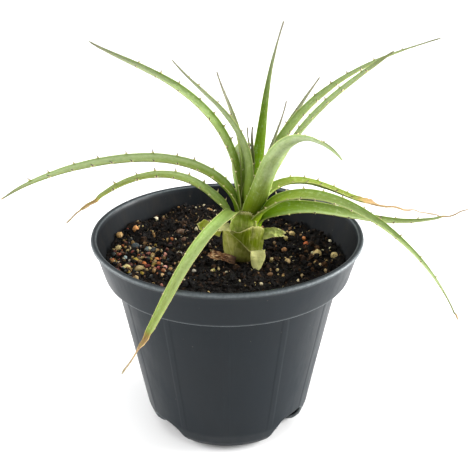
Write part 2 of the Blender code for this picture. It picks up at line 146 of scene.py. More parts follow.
# loose stones: x, y, radii along x, y and z, turn about z
STONES = (
    (41.0, 6.0, 2.0, 1.8, 2.4, 20), (48.8, 5.5, 1.9, 1.7, 1.9, 0),
    (36.8, 17.6, 1.4, 1.3, 1.2, 0), (42.0, -4.4, 1.2, 1.1, 1.0, 0),
    (-9.3, 47.5, 2.0, 1.3, 1.1, 0), (-20.7, 22.2, 3.4, 1.6, 1.5, -10),
    (-42.2, 10.3, 2.0, 1.8, 1.6, 30), (-33.7, 7.0, 2.1, 1.4, 1.1, 0),
    (-40.4, -4.3, 1.7, 1.5, 1.4, 0), (-44.1, -11.3, 2.1, 1.4, 1.2, 15),
    (-38.4, -11.0, 2.3, 1.4, 1.3, 40), (-47.6, -7.6, 1.3, 1.2, 1.1, 0),
    (-28.4, 1.9, 1.6, 1.5, 1.3, 0), (-31.3, -2.4, 1.3, 1.2, 1.1, 0),
)
STONE_SINK = 0.35

# ---------------------------------------------------------------- numbers of the looks

# each leaf's look: share of its length where it starts to dry (1 = never), pale bloom, painted
# light and shade on the upper face (how much paler the left (+) or right (-) half is painted, the
# other half painted a deeper green), size of the spines, and its colour at the base, a fifth, half
# and nine tenths of its length
LEAF_LOOK = {
    "leaf_left_long": (0.985, 0.25, -0.9, 1.0, (104, 126, 18), (126, 148, 52), (158, 178, 112),
                       (160, 172, 124)),
    "leaf_left_short": (0.80, 0.10, -0.6, 1.0, (148, 168, 82), (152, 174, 96), (134, 152, 68),
                        (150, 154, 66)),
    "leaf_upper_left": (1.0, 0.25, 0.7, 0.9, (118, 142, 34), (128, 152, 58), (146, 170, 102),
                        (158, 168, 134)),
    "leaf_upper_left_thin": (1.0, 0.40, 0.1, 0.7, (108, 130, 28), (132, 153, 72),
                             (156, 168, 114), (176, 180, 152)),
    "leaf_back_left_thin": (1.0, 0.10, 0.0, 0.5, (108, 134, 30), (124, 152, 50),
                            (148, 160, 96), (140, 140, 122)),
    "leaf_bud_left": (1.0, 0.10, 0.0, 0.3, (126, 146, 60), (132, 150, 74), (138, 148, 100),
                      (134, 128, 116)),
    "leaf_bud_right": (1.0, 0.10, 0.0, 0.3, (112, 136, 44), (126, 148, 60), (136, 148, 90),
                       (130, 124, 112)),
    "leaf_tall": (1.0, 0.05, 0.0, 0.0, (98, 126, 8), (112, 150, 0), (114, 146, 34),
                  (132, 142, 112)),
    "leaf_back_right_thin": (1.0, 0.10, 0.0, 0.4, (128, 148, 44), (136, 158, 66),
                             (136, 144, 108), (132, 126, 118)),
    "leaf_back_right": (1.0, 0.15, 0.0, 0.5, (122, 146, 46), (142, 166, 74), (144, 156, 106),
                        (138, 140, 122)),
    "leaf_right_high": (1.0, 0.35, 0.3, 0.8, (106, 130, 20), (124, 148, 56), (144, 166, 94),
                        (156, 164, 128)),
    "leaf_right_second": (1.0, 0.35, 0.2, 0.8, (100, 122, 14), (134, 156, 76),
                          (142, 158, 102), (148, 160, 120)),
    "leaf_front_curl": (1.0, 0.45, 0.0, 0.7, (98, 116, 12), (114, 134, 28), (154, 174, 98),
                        (170, 180, 152)),
    "leaf_right_dry": (0.54, 0.10, 0.1, 0.9, (166, 184, 110), (132, 148, 60), (118, 130, 10),
                       (120, 112, 60)),
    "leaf_right_arch": (0.97, 0.25, -0.5, 0.9, (106, 128, 0), (130, 152, 44), (142, 166, 86),
                        (160, 174, 122)),
    "leaf_right_low": (0.86, 0.25, -1.0, 0.9, (86, 110, 0), (114, 142, 36), (148, 170, 92),
                       (186, 194, 136)),
    "leaf_front_left": (0.80, 0.20, 0.5, 0.6, (124, 142, 50), (150, 176, 100), (180, 202, 122),
                        (190, 200, 100)),
    "leaf_back": (1.0, 0.55, 0.0, 0.8, (98, 124, 10), (140, 166, 80), (168, 190, 130),
                  (172, 186, 138)),
}
PALETTE_AT = (0.0, 0.2, 0.5, 0.9)
LEAF_DEPTH = (1.35, 0.95, 0.66, 0.62)     # share of the palette's light used at its places
# where a dry tip has shrunk to a thread: from this share, over this share, to this width
THREADS = {"leaf_right_dry": (0.64, 0.10, 0.42), "leaf_front_left": (0.86, 0.05, 0.16),
           "leaf_left_short": (0.895, 0.03, 0.14), "leaf_right_low": (0.88, 0.06, 0.35)}
GREY_TIPS = {"leaf_tall": 0.6, "leaf_back_left_thin": 0.7, "leaf_back_right_thin": 0.8,
             "leaf_bud_left": 0.8, "leaf_bud_right": 0.8, "leaf_back_right": 0.5,
             "leaf_upper_left": 0.3, "leaf_upper_left_thin": 0.5}
STATIONS, ACROSS = 151, 16                # steps of a blade's grid along and across it
TIP_WIDE = 0.8                            # width a leaf keeps almost to its very tip
CLASP = 0.12                              # a leaf's base is broader by this share
SPINE_FIRST = 7.0                         # mm from the base to the first spine
SPINE_GAP_BASE, SPINE_GAP_TIP = 4.2, 11.5     # mm between spines near the base and far out
SPINE_TALL, RIM_SPINE_TALL = 2.0, 0.75

# the wrap's darker tint is partly painted shade, for the shadowed hollow it sits in
SHEATH_TINT = {"sheath_barrel": (132, 134, 56), "sheath_wrap": (88, 98, 10),
               "sheath_front": (96, 122, 8)}
STUB_TINT = {"stub_right": (174, 188, 108), "stub_left": (168, 178, 52),
             "stub_hanging": (214, 214, 146), "flap_left": (206, 206, 146),
             "leaf_dried": (150, 104, 62)}
STUB_CRINKLE = {"leaf_dried": 2.2, "stub_right": 1.2}     # 0.6 for the others
STUB_CURL = 0.62


def srgb(r, g, b, a=1.0):
    """A colour picked as 0..255 display values, as linear numbers for a shader."""
    def one(c):
        c /= 255.0
        return c / 12.92 if c <= 0.04045 else ((c + 0.055) / 1.055) ** 2.4
    return one(r), one(g), one(b), a


def tints(*colours):
    """Rows of linear colours for colours picked as 0..255 display values."""
    return np.array([srgb(*c)[:3] for c in colours])


# ---------------------------------------------------------------- shapes, as whole arrays

def smooth(t):
    """3t^2 - 2t^3, held at 0 below 0 and at 1 above 1."""
    t = np.clip(t, 0.0, 1.0)
    return t * t * (3 - 2 * t)


def four(values, s):
    """The cubic through four values at s = 0, 1/3, 2/3 and 1."""
    a, b, c, d = values
    u = 3 * s
    return (-a * (u - 1) * (u - 2) * (u - 3) / 6 + b * u * (u - 2) * (u - 3) / 2
            - c * u * (u - 1) * (u - 3) / 2 + d * u * (u - 1) * (u - 2) / 6)


def corner(ix, iy, iz, seed):
    """A fixed number in 0..1 for each whole-number corner of space."""
    n = (ix.astype(np.int64) * 374761393 + iy.astype(np.int64) * 668265263
         + iz.astype(np.int64) * 1274126177 + seed * 982451653) & 0xFFFFFFFF
    n = ((n ^ (n >> 15)) * 2246822519) & 0xFFFFFFFF
    n = ((n ^ (n >> 13)) * 3266489917) & 0xFFFFFFFF
    return ((n ^ (n >> 16)) & 0xFFFFFF) / float(0xFFFFFF)


def drift(x, y, z=0.0, seed=0):
    """Soft noise in -1..1: the corners' numbers blended by 3t^2 - 2t^3 in each direction."""
    x, y, z = np.broadcast_arrays(np.asarray(x, float), y, z)
    fx, fy, fz = np.floor(x), np.floor(y), np.floor(z)
    tx, ty, tz = smooth(x - fx), smooth(y - fy), smooth(z - fz)
    out = 0.0
    for cx in (0, 1):
        for cy in (0, 1):
            for cz in (0, 1):
                w = ((tx if cx else 1 - tx) * (ty if cy else 1 - ty) * (tz if cz else 1 - tz))
                out = out + w * corner(fx + cx, fy + cy, fz + cz, seed)
    return 2 * out - 1


def layered(x, y, z=0.0, seed=0, octaves=4):
    """Drift added to itself at twice the frequency and half the strength, several times."""
    total, strength = 0.0, 0.5
    for k in range(octaves):
        total = total + strength * drift(np.asarray(x) * 2 ** k, np.asarray(y) * 2 ** k,
                                         np.asarray(z) * 2 ** k, seed + k)
        strength /= 2
    return total


def grains(x, y, size, seed):
    """Height 0..1 of a bed of round grains: one grain per square cell, at a random place in it,
    each a half ball of its own radius."""
    gx, gy = x / size, y / size
    fx, fy = np.floor(gx), np.floor(gy)
    best = np.zeros_like(gx)
    for cx in (-1, 0, 1):
        for cy in (-1, 0, 1):
            ix, iy = fx + cx, fy + cy
            zero = np.zeros_like(ix)
            px = ix + 0.15 + 0.7 * corner(ix, iy, zero, seed)
            py = iy + 0.15 + 0.7 * corner(ix, iy, zero, seed + 1)
            reach = 0.42 + 0.38 * corner(ix, iy, zero, seed + 2)
            tall = 0.4 + 0.6 * corner(ix, iy, zero, seed + 3)
            d2 = ((gx - px) ** 2 + (gy - py) ** 2) / reach ** 2
            best = np.maximum(best, tall * np.sqrt(np.clip(1 - d2, 0, 1)))
    return best


def loop_faces(rows, cols, closed=False):
    """Quads between neighbouring rows of a grid whose last column meets its first; closed also
    joins the last row to the first."""
    r = np.arange(rows if closed else rows - 1)[:, None]
    c = np.arange(cols)[None, :]
    up, n = (r + 1) % rows, (c + 1) % cols
    quads = np.stack([r * cols + c, r * cols + n, up * cols + n, up * cols + c], -1)
    return quads.reshape(-1, 4)


def tube_faces(rows, cols):
    """Faces of a tube made of rings, with a fan at each end. Its points are the rings', then
    the middle of its first end and the middle of its last."""
    c = np.arange(cols)
    n, top = (c + 1) % cols, (rows - 1) * cols
    first, last = np.full(cols, rows * cols), np.full(cols, rows * cols + 1)
    fans = np.concatenate([np.stack([n, c, first], -1), np.stack([top + c, top + n, last], -1)])
    return [loop_faces(rows, cols), fans]


def copies(n, k, blocks):
    """Faces of n equal shapes of k points each, which lie one after the other."""
    offset = (np.arange(n) * k)[:, None, None]
    return [(block[None] + offset).reshape(-1, block.shape[1]) for block in blocks]


class Body:
    """One object in the making: surfaces added one after the other, with numbers kept at each
    point and a finish for each face."""

    def __init__(self):
        self.points, self.faces, self.finish, self.marks = [], [], [], {}
        self.count = 0

    def add(self, points, blocks, finish=0, **marks):
        """Adds points (n, 3) in mm, blocks of faces (m, 3 or 4) and marks, each of which is one
        number, n numbers or n colours, and 0 where it isn't given."""
        points = np.asarray(points, float).reshape(-1, 3)
        self.points.append(points)
        for faces in blocks:
            self.faces.append(faces + self.count)
            self.finish.append(np.full(len(faces), finish))
        for key in {**self.marks, **marks}:
            row = np.asarray(marks.get(key, 0.0), float)
            if key not in self.marks:
                self.marks[key] = [np.zeros((self.count, *row.shape[1:]))]
            width = self.marks[key][0].shape[1:]
            self.marks[key].append(np.broadcast_to(row, (len(points), *width)))
        self.count += len(points)

    def rings(self, grid, tint=None, **marks):
        """Adds a closed tube from a grid (rows, cols, 3); each end is closed by a fan to its
        middle point. The marks spread over the grid; tint is one colour or one for each row."""
        rows, cols = grid.shape[:2]
        spread = {}
        for key, value in marks.items():
            value = np.broadcast_to(value, (rows, cols))
            spread[key] = np.concatenate([value.reshape(-1), [value[0].mean(), value[-1].mean()]])
        if tint is not None:
            tint = np.broadcast_to(tint, (rows, 3))
            spread["tint"] = np.concatenate([np.repeat(tint, cols, 0), tint[[0, -1]]])
        ends = np.stack([grid[0].mean(0), grid[-1].mean(0)])
        self.add(np.concatenate([grid.reshape(-1, 3), ends]), tube_faces(rows, cols), **spread)

    def build(self, name, finishes, sharp=False):
        """Makes the object, facing outwards, at the origin."""
        points = np.concatenate(self.points) * MM
        mesh = bpy.data.meshes.new(name)
        sizes = np.concatenate([np.full(len(f), f.shape[1]) for f in self.faces])
        corners = np.concatenate([f.reshape(-1) for f in self.faces])
        starts = np.concatenate([[0], np.cumsum(sizes)[:-1]])
        mesh.vertices.add(len(points))
        mesh.vertices.foreach_set("co", points.astype(np.float32).reshape(-1))
        mesh.loops.add(len(corners))
        mesh.loops.foreach_set("vertex_index", corners.astype(np.int32))
        mesh.polygons.add(len(sizes))
        mesh.polygons.foreach_set("loop_start", starts.astype(np.int32))
        mesh.polygons.foreach_set("material_index",
                                  np.concatenate(self.finish).astype(np.int32))
        mesh.polygons.foreach_set("use_smooth", np.full(len(sizes), not sharp))
        mesh.update(calc_edges=True)
        mesh.validate()
        for key, rows in self.marks.items():
            values = np.concatenate(rows)
            if values.ndim == 1:
                mark = mesh.attributes.new(key, "FLOAT", "POINT")
                mark.data.foreach_set("value", values.astype(np.float32))
            else:
                mark = mesh.attributes.new(key, "FLOAT_COLOR", "POINT")
                four_wide = np.concatenate([values, np.ones((len(values), 1))], 1)
                mark.data.foreach_set("color", four_wide.astype(np.float32).reshape(-1))
        for finish in finishes:
            mesh.materials.append(finish)
        obj = bpy.data.objects.new(name, mesh)
        bpy.context.scene.collection.objects.link(obj)
        return obj


def outward(obj):
    """Turns a closed body the right way out if its signed volume is negative."""
    mesh = obj.data
    mesh.calc_loop_triangles()
    tri = np.zeros(len(mesh.loop_triangles) * 3, np.int32)
    mesh.loop_triangles.foreach_get("vertices", tri)
    co = np.zeros(len(mesh.vertices) * 3)
    mesh.vertices.foreach_get("co", co)
    a, b, c = co.reshape(-1, 3)[tri.reshape(-1, 3)].transpose(1, 0, 2)
    if np.einsum("ij,ij->i", a, np.cross(b, c)).sum() < 0:
        mesh.flip_normals()
    return obj


def keep(obj, slot, *nodes):
    """The piece rides on the plant's one body and stands for its CAD nodes; its slot is not used.
    """
    outward(obj)
    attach(obj, "root")
    if nodes:
        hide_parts(*nodes)
    return obj


def axis(z):
    """The stem's leaning middle line at the height z."""
    return AXIS_X + AXIS_LEAN * (z - AXIS_Z), AXIS_Y + 0 * z


# ---------------------------------------------------------------- finishes

class Finish:
    """A material in the making: short calls that add shader nodes and join them."""

    def __init__(self, name):
        self.mat = bpy.data.materials.new(name)
        self.mat.use_nodes = True
        self.tree = self.mat.node_tree
        self.shader = self.tree.nodes["Principled BSDF"]
        self.place = self.node("ShaderNodeTexCoord").outputs["Object"]

    def node(self, kind, inputs=None, **settings):
        node = self.tree.nodes.new(kind)
        for key, value in settings.items():
            setattr(node, key, value)
        for key, value in (inputs or {}).items():
            self.feed(node.inputs[key], value)
        return node

    def feed(self, socket, value):
        if isinstance(value, bpy.types.NodeSocket):
            self.tree.links.new(value, socket)
        else:
            socket.default_value = value

    def mark(self, name, colour=False):
        node = self.node("ShaderNodeAttribute", attribute_name=name)
        return node.outputs["Color" if colour else "Fac"]

    def math(self, operation, a, b=0.0):
        return self.node("ShaderNodeMath", {0: a, 1: b}, operation=operation).outputs[0]

    def times(self, a, b):
        return self.math("MULTIPLY", a, b)

    def plus(self, a, b):
        return self.math("ADD", a, b)

    def mapped(self, value, low, high, out_low=0.0, out_high=1.0):
        node = self.node("ShaderNodeMapRange", {"Value": value, "From Min": low,
                                                "From Max": high, "To Min": out_low,
                                                "To Max": out_high},
                         interpolation_type="SMOOTHSTEP")
        return node.outputs["Result"]

    def mix(self, share, a, b):
        node = self.node("ShaderNodeMix", data_type="RGBA")
        self.feed(node.inputs["Factor"], share)
        self.feed(node.inputs[6], a)
        self.feed(node.inputs[7], b)
        return node.outputs[2]

    def laid(self, under, over, value, low, high, most=1.0, also=None):
        """Lays a colour over another: not at all where the value is low, up to the share most
        where it is high, times a further share if one is given."""
        share = self.mapped(value, low, high, 0.0, most)
        return self.mix(share if also is None else self.times(share, also), under, over)

    def ramp(self, value, *stops):
        node = self.node("ShaderNodeValToRGB", {"Fac": value})
        line = node.color_ramp.elements
        while len(line) < len(stops):
            line.new(0.5)
        for element, (at, colour) in zip(line, stops):
            element.position, element.color = at, colour
        return node.outputs["Color"]

    def noise(self, vector, scale, detail=3.0, rough=0.55, warp=0.0):
        node = self.node("ShaderNodeTexNoise", {"Vector": vector, "Scale": scale,
                                                "Detail": detail, "Roughness": rough,
                                                "Distortion": warp})
        return node.outputs["Fac"]

    def cells(self, vector, scale):
        node = self.node("ShaderNodeTexVoronoi", {"Vector": vector, "Scale": scale})
        return node.outputs["Distance"]

    def stretched(self, vector, x, y, z):
        node = self.node("ShaderNodeMapping", {"Vector": vector, "Scale": (x, y, z)})
        return node.outputs["Vector"]

    def joined(self, x, y, z):
        return self.node("ShaderNodeCombineXYZ", {0: x, 1: y, 2: z}).outputs[0]

    def bump(self, height, depth, strength=1.0, under=None):
        inputs = {"Height": height, "Distance": depth, "Strength": strength}
        if under is not None:
            inputs["Normal"] = under
        return self.node("ShaderNodeBump", inputs).outputs["Normal"]

    def done(self, **sockets):
        for key, value in sockets.items():
            self.feed(self.shader.inputs[key.replace("_", " ")], value)
        return self.mat


def blade_finish():
    """Channelled leaf in its own colours, which change along it; whitish bloom, most of it on
    the lower face; veins along it; a deeper green band and a pale line at the margins; straw
    and brown where it is dry."""
    f = Finish("puya_leaf_blade")
    share, across, upper, run, seed, dry, bloom, side, grey = (
        f.mark(key) for key in ("share", "across", "upper", "run", "seed", "dry", "bloom",
                                "side", "grey"))

    def lane(wide, long):
        """Place on the blade, scaled across and along it, and other for each leaf."""
        return f.joined(f.times(across, wide), f.times(run, long), seed)

    narrow = lane(4.0, 0.06)
    veins = f.noise(narrow, 3.2, 4.0, 0.6)
    broad = f.noise(lane(1.0, 0.09), 1.3, 3.0)
    colour = f.mark("tint", colour=True)
    # painted light and shade: one half of the upper face is painted paler, the other a deeper
    # green
    lean, settled = f.times(across, side), f.mapped(share, 0.03, 0.25)
    colour = f.laid(colour, srgb(188, 202, 156), lean, 0.0, 0.75, 0.50, settled)
    colour = f.laid(colour, srgb(88, 114, 18), lean, 0.0, -0.75, 0.62, settled)
    # bloom
    dust = f.times(bloom, f.mapped(broad, 0.30, 0.70, 0.45, 1.2))
    dust = f.times(dust, f.mapped(share, 0.10, 0.45))
    dust = f.times(dust, f.mapped(upper, 0.0, 1.0, 1.0, 0.45))
    colour = f.mix(dust, colour, srgb(178, 190, 152))
    # veins
    fade = f.mapped(share, 0.04, 0.30, 0.25, 1.0)
    colour = f.laid(colour, srgb(182, 196, 110), veins, 0.45, 0.80, 0.30, fade)
    colour = f.laid(colour, srgb(70, 96, 12), veins, 0.50, 0.18, 0.45)
    # scurf: soft pale patches and darker ones between them
    scurf = f.noise(lane(1.6, 0.35), 1.6, 5.0, 0.7)
    colour = f.laid(colour, srgb(184, 200, 152), scurf, 0.50, 0.72, 0.36, fade)
    colour = f.laid(colour, srgb(88, 112, 30), scurf, 0.48, 0.28, 0.30)
    # freckles
    spot = f.noise(lane(3.0, 0.9), 1.1, 1.0)
    colour = f.laid(colour, srgb(104, 90, 30), spot, 0.74, 0.80, 0.45)
    # margins: a deeper green band, then a cream line with a brown thread on its outer side
    edge = f.math("ABSOLUTE", across)
    colour = f.laid(colour, srgb(84, 108, 24), edge, 0.62, 0.84, 0.34)
    colour = f.laid(colour, srgb(190, 202, 128), edge, 0.90, 0.97, 0.50)
    colour = f.laid(colour, srgb(128, 104, 62), edge, 0.975, 1.0, 0.45)
    # the last of the tip is dark, but not on a leaf with much bloom, and greys on some leaves
    plain = f.mapped(bloom, 0.44, 0.41)
    colour = f.laid(colour, srgb(96, 96, 66), share, 0.82, 1.0, 0.85, plain)
    colour = f.laid(colour, srgb(132, 124, 114), share, 0.50, 1.0, 1.0, grey)
    # dry parts
    old = f.ramp(f.noise(narrow, 2.4, 4.0, 0.65), (0.28, srgb(104, 62, 30)),
                 (0.46, srgb(148, 112, 66)), (0.60, srgb(172, 146, 98)),
                 (0.78, srgb(200, 184, 142)))
    thread = f.ramp(dry, (0.0, srgb(160, 144, 54)), (0.2, srgb(164, 138, 100)),
                    (0.55, srgb(158, 138, 110)), (1.0, srgb(156, 148, 134)))
    old = f.laid(f.mix(0.6, old, thread), srgb(150, 134, 112), dry, 0.55, 0.75, 0.5)
    colour = f.laid(colour, old, dry, 0.02, 0.16)
    normal = f.bump(f.noise(lane(9.0, 0.02), 2.2, 2.0, 0.5), 0.00022, 0.55)
    normal = f.bump(f.noise(f.place, 900.0, 2.0), 0.00004, 0.5, normal)
    rough = f.plus(f.mapped(veins, 0.2, 0.8, 0.48, 0.66), f.times(dry, 0.25))
    return f.done(Base_Color=colour, Roughness=rough, Normal=normal, Specular_IOR_Level=0.05,
                  Subsurface_Weight=0.10, Subsurface_Radius=(0.5, 0.8, 0.15),
                  Subsurface_Scale=0.002)


def spine_finish():
    """Hooked spine: pale green foot, straw middle and a dark grey-purple point; paler all
    over near the base of a leaf."""
    f = Finish("puya_spine")
    height = f.mark("height")
    wobble = f.plus(height, f.mapped(f.noise(f.place, 700.0), 0.3, 0.7, -0.08, 0.08))
    colour = f.ramp(wobble, (0.0, srgb(170, 180, 104)), (0.22, srgb(176, 166, 118)),
                    (0.42, srgb(104, 86, 68)), (0.7, srgb(62, 48, 48)),
                    (1.0, srgb(44, 34, 38)))
    pale = f.ramp(wobble, (0.0, srgb(186, 196, 112)), (0.55, srgb(222, 208, 158)),
                  (1.0, srgb(176, 112, 88)))
    colour = f.mix(f.mapped(f.mark("share"), 0.12, 0.32), pale, colour)
    normal = f.bump(f.noise(f.place, 1500.0), 0.00003, 0.4)
    return f.done(Base_Color=colour, Roughness=f.mapped(height, 0, 1, 0.55, 0.35),
                  Normal=normal)


def sheath_finish():
    """Old leaf base: olive, with fine upright veins, paler at its cut edge and blotched, and
    painted darker towards its foot as shade.
    """
    f = Finish("puya_sheath")
    tint = f.mark("tint", colour=True)
    lane = f.joined(f.times(f.mark("across"), 9.0), f.mark("share"), f.mark("seed"))
    veins = f.noise(lane, 2.6, 4.0, 0.6)
    blotch = f.noise(f.place, 190.0, 4.0, 0.6)
    colour = f.laid(tint, srgb(172, 170, 104), blotch, 0.35, 0.70, 0.55)
    colour = f.laid(colour, srgb(92, 108, 2), blotch, 0.52, 0.32, 0.65)
    colour = f.laid(colour, srgb(190, 186, 112), veins, 0.48, 0.75, 0.24)
    colour = f.laid(colour, srgb(78, 84, 4), veins, 0.46, 0.25, 0.20)
    colour = f.mix(f.mark("rim"), colour, srgb(196, 190, 126))
    colour = f.laid(colour, srgb(104, 72, 34), f.noise(f.place, 620.0, 2.0), 0.66, 0.74, 0.5)
    # painted shade: dark brown laid over the sheath low down, where it meets the stem
    colour = f.mix(f.mark("foot"), colour, srgb(58, 42, 20))
    normal = f.bump(veins, 0.0004, 0.6)
    normal = f.bump(blotch, 0.0003, 0.3, normal)
    return f.done(Base_Color=colour, Roughness=f.mapped(veins, 0.2, 0.8, 0.45, 0.65),
                  Normal=normal, Specular_IOR_Level=0.06, Subsurface_Weight=0.12,
                  Subsurface_Radius=(0.8, 0.8, 0.2), Subsurface_Scale=0.002)


def papery_finish():
    """Dried leaf on the soil: brown and cream, creased along its length, darker at the stem; its
    colour follows the creases' height, partly painted highlight on the ridges and painted shade in
    the folds.
    """
    f = Finish("dried_leaf_paper")
    lane = f.joined(f.times(f.mark("across"), 4.0), f.times(f.mark("run"), 0.22),
                    f.mark("seed"))
    crease = f.noise(lane, 1.6, 5.0, 0.65, 0.6)
    # partly painted shade and highlight: near black in the creases' folds, cream on their ridges
    colour = f.ramp(crease, (0.34, srgb(40, 22, 10)), (0.45, srgb(96, 58, 30)),
                    (0.53, srgb(156, 106, 62)), (0.61, srgb(222, 190, 138)),
                    (0.70, srgb(244, 230, 196)))
    colour = f.laid(colour, srgb(58, 36, 18), f.mark("share"), 0.55, 0.0, 0.8)
    normal = f.bump(crease, 0.0009, 0.8)
    return f.done(Base_Color=colour, Roughness=f.mapped(crease, 0.3, 0.7, 0.75, 0.95),
                  Normal=normal)


def stem_finish():
    """Foot of the stem: dark green-brown bark with old leaf scars."""
    f = Finish("stem_bark")
    rings = f.noise(f.stretched(f.place, 160, 160, 700), 1.0, 4.0, 0.6, 0.4)
    colour = f.ramp(rings, (0.30, srgb(34, 24, 12)), (0.50, srgb(70, 60, 20)),
                    (0.66, srgb(104, 98, 34)), (0.82, srgb(140, 128, 70)))
    normal = f.bump(rings, 0.0008, 0.7)
    return f.done(Base_Color=colour, Roughness=f.mapped(rings, 0.3, 0.7, 0.9, 0.7),
                  Normal=normal)


def plastic_finish():
    """Dark blue-grey nursery pot: dull moulded plastic, dusty, with painted highlight lines along
    its edges, painted shade darkening the inside wall, and earth stains down the inside."""
    f = Finish("nursery_pot_plastic")
    cloud = f.noise(f.place, 26.0, 5.0, 0.6, 0.5)
    runs = f.noise(f.stretched(f.place, 260, 260, 16), 1.0, 5.0, 0.6, 0.2)
    fine = f.noise(f.place, 900.0, 3.0, 0.6)
    inside = f.mark("inside")
    colour = f.laid(srgb(3, 13, 20), srgb(6, 17, 24), cloud, 0.3, 0.7)
    colour = f.laid(colour, srgb(40, 47, 50), runs, 0.45, 0.80, 0.16)
    # painted shade: the inside wall is darkened almost to black
    colour = f.mix(f.times(inside, 0.70), colour, srgb(3, 6, 11))
    colour = f.laid(colour, srgb(34, 32, 30), runs, 0.40, 0.72, 0.55, inside)
    # painted highlight: a pale grey line along the rim, the collar's step and the notch lips
    painted_edge_highlight = f.times(f.mark("edge"), f.mapped(fine, 0.30, 0.75, 0.6, 1.0))
    colour = f.mix(f.times(painted_edge_highlight, 0.8), colour, srgb(112, 119, 121))
    colour = f.laid(colour, srgb(80, 76, 66), f.noise(f.place, 520.0, 1.0), 0.77, 0.82, 0.5)
    rough = f.plus(f.mapped(cloud, 0.3, 0.7, 0.36, 0.46), f.mapped(runs, 0.4, 0.8, 0.0, 0.12))
    rough = f.plus(rough, f.times(inside, 0.34))
    normal = f.bump(cloud, 0.0006, 0.25)
    normal = f.bump(fine, 0.00003, 0.35, normal)
    return f.done(Base_Color=colour, Roughness=rough, Normal=normal, Specular_IOR_Level=0.205)


def earth_finish():
    """Peaty potting mix: near black with brown crumbs; the colour follows the bump's height,
    painted near black in the hollows as shade and brown on the tops.
    """
    f = Finish("peat_soil")
    crumbs = f.noise(f.place, 420.0, 6.0, 0.7)
    patches = f.noise(f.place, 60.0, 3.0)
    # painted shade: the ramp is near black where the bump below is low, partly the mix's own dark
    # peat
    colour = f.ramp(crumbs, (0.36, srgb(4, 3, 2)), (0.50, srgb(14, 10, 7)),
                    (0.60, srgb(38, 27, 17)), (0.72, srgb(84, 60, 38)))
    colour = f.laid(colour, srgb(8, 6, 5), patches, 0.30, 0.60, 0.7)
    normal = f.bump(crumbs, 0.0012, 0.9)
    normal = f.bump(f.cells(f.place, 900.0), 0.0005, 0.5, normal)
    return f.done(Base_Color=colour, Roughness=f.mapped(crumbs, 0.3, 0.7, 0.62, 0.95),
                  Normal=normal, Specular_IOR_Level=0.2)


def crumb_finish():
    """Loose crumbs and fibres of the mix, each with its own brown."""
    f = Finish("peat_crumb")
    tint = f.mark("tint", colour=True)
    grain = f.noise(f.place, 1100.0, 4.0, 0.65)
    colour = f.laid(tint, srgb(6, 4, 3), grain, 0.35, 0.70, 0.8)
    return f.done(Base_Color=colour, Roughness=f.mapped(grain, 0.3, 0.7, 0.6, 0.95),
                  Normal=f.bump(grain, 0.0006, 0.8), Specular_IOR_Level=0.2)


def grit_finish():
    """Gravel and pumice: each stone its own colour, mottled and pitted."""
    f = Finish("grit_stone")
    tint = f.mark("tint", colour=True)
    mottle = f.noise(f.place, 800.0, 4.0, 0.7)
    pits = f.cells(f.place, 1700.0)
    colour = f.laid(tint, srgb(214, 202, 166), mottle, 0.50, 0.72, 0.30)
    colour = f.laid(colour, srgb(30, 20, 12), mottle, 0.48, 0.30, 0.60)
    colour = f.laid(colour, srgb(40, 30, 22), pits, 0.22, 0.0, 0.35)
    normal = f.bump(mottle, 0.0006, 0.7)
    return f.done(Base_Color=colour, Roughness=f.mapped(mottle, 0.3, 0.7, 0.85, 0.6),
                  Normal=normal)


def floor_finish():
    """Plain pale studio floor."""
    f = Finish("studio_floor")
    grain = f.noise(f.place, 3.0, 2.0)
    colour = f.laid(srgb(246, 246, 246), srgb(248, 248, 248), grain, 0.3, 0.7)
    return f.done(Base_Color=colour, Roughness=0.7, Specular_IOR_Level=0.1,
                  Emission_Color=srgb(255, 255, 255), Emission_Strength=0.04)


# ---------------------------------------------------------------- leaves

def midrib(start, azimuth, pitch, roll, length):
    """Points and frames along a blade. The tangent is (cos p cos a, cos p sin a, sin p); each
    point is the last one plus the mean of the two tangents times the step. Side is level and
    square to the tangent, up is square to both, and roll turns these two about the tangent."""
    a, p, q = np.radians(azimuth), np.radians(pitch), np.radians(roll)
    zero = np.zeros_like(a)
    t = np.stack([np.cos(p) * np.cos(a), np.cos(p) * np.sin(a), np.sin(p)], -1)
    s = np.stack([-np.sin(a), np.cos(a), zero], -1)
    n = np.stack([-np.sin(p) * np.cos(a), -np.sin(p) * np.sin(a), np.cos(p)], -1)
    c, w = np.cos(q)[:, None], np.sin(q)[:, None]
    step = length / (len(a) - 1)
    points = np.zeros((len(a), 3))
    points[0] = start
    points[1:] = np.asarray(start) + np.cumsum((t[1:] + t[:-1]) / 2 * step, 0)
    return points, t, s * c + n * w, n * c - s * w


def through_knots(knots, heads, s):
    """Smooth curve through knots evenly spaced over s = 0..1, leaving each along its head: on
    a span, (2w^3 - 3w^2 + 1) p + (w^3 - 2w^2 + w) m + (3w^2 - 2w^3) q + (w^3 - w^2) n."""
    k = np.clip(s * (len(knots) - 1), 0, len(knots) - 1 - 1e-9)
    i = np.floor(k).astype(int)
    w = (k - i)[:, None]
    return ((2 * w ** 3 - 3 * w ** 2 + 1) * knots[i] + (w ** 3 - 2 * w ** 2 + w) * heads[i]
            + (3 * w ** 2 - 2 * w ** 3) * knots[i + 1] + (w ** 3 - w ** 2) * heads[i + 1])


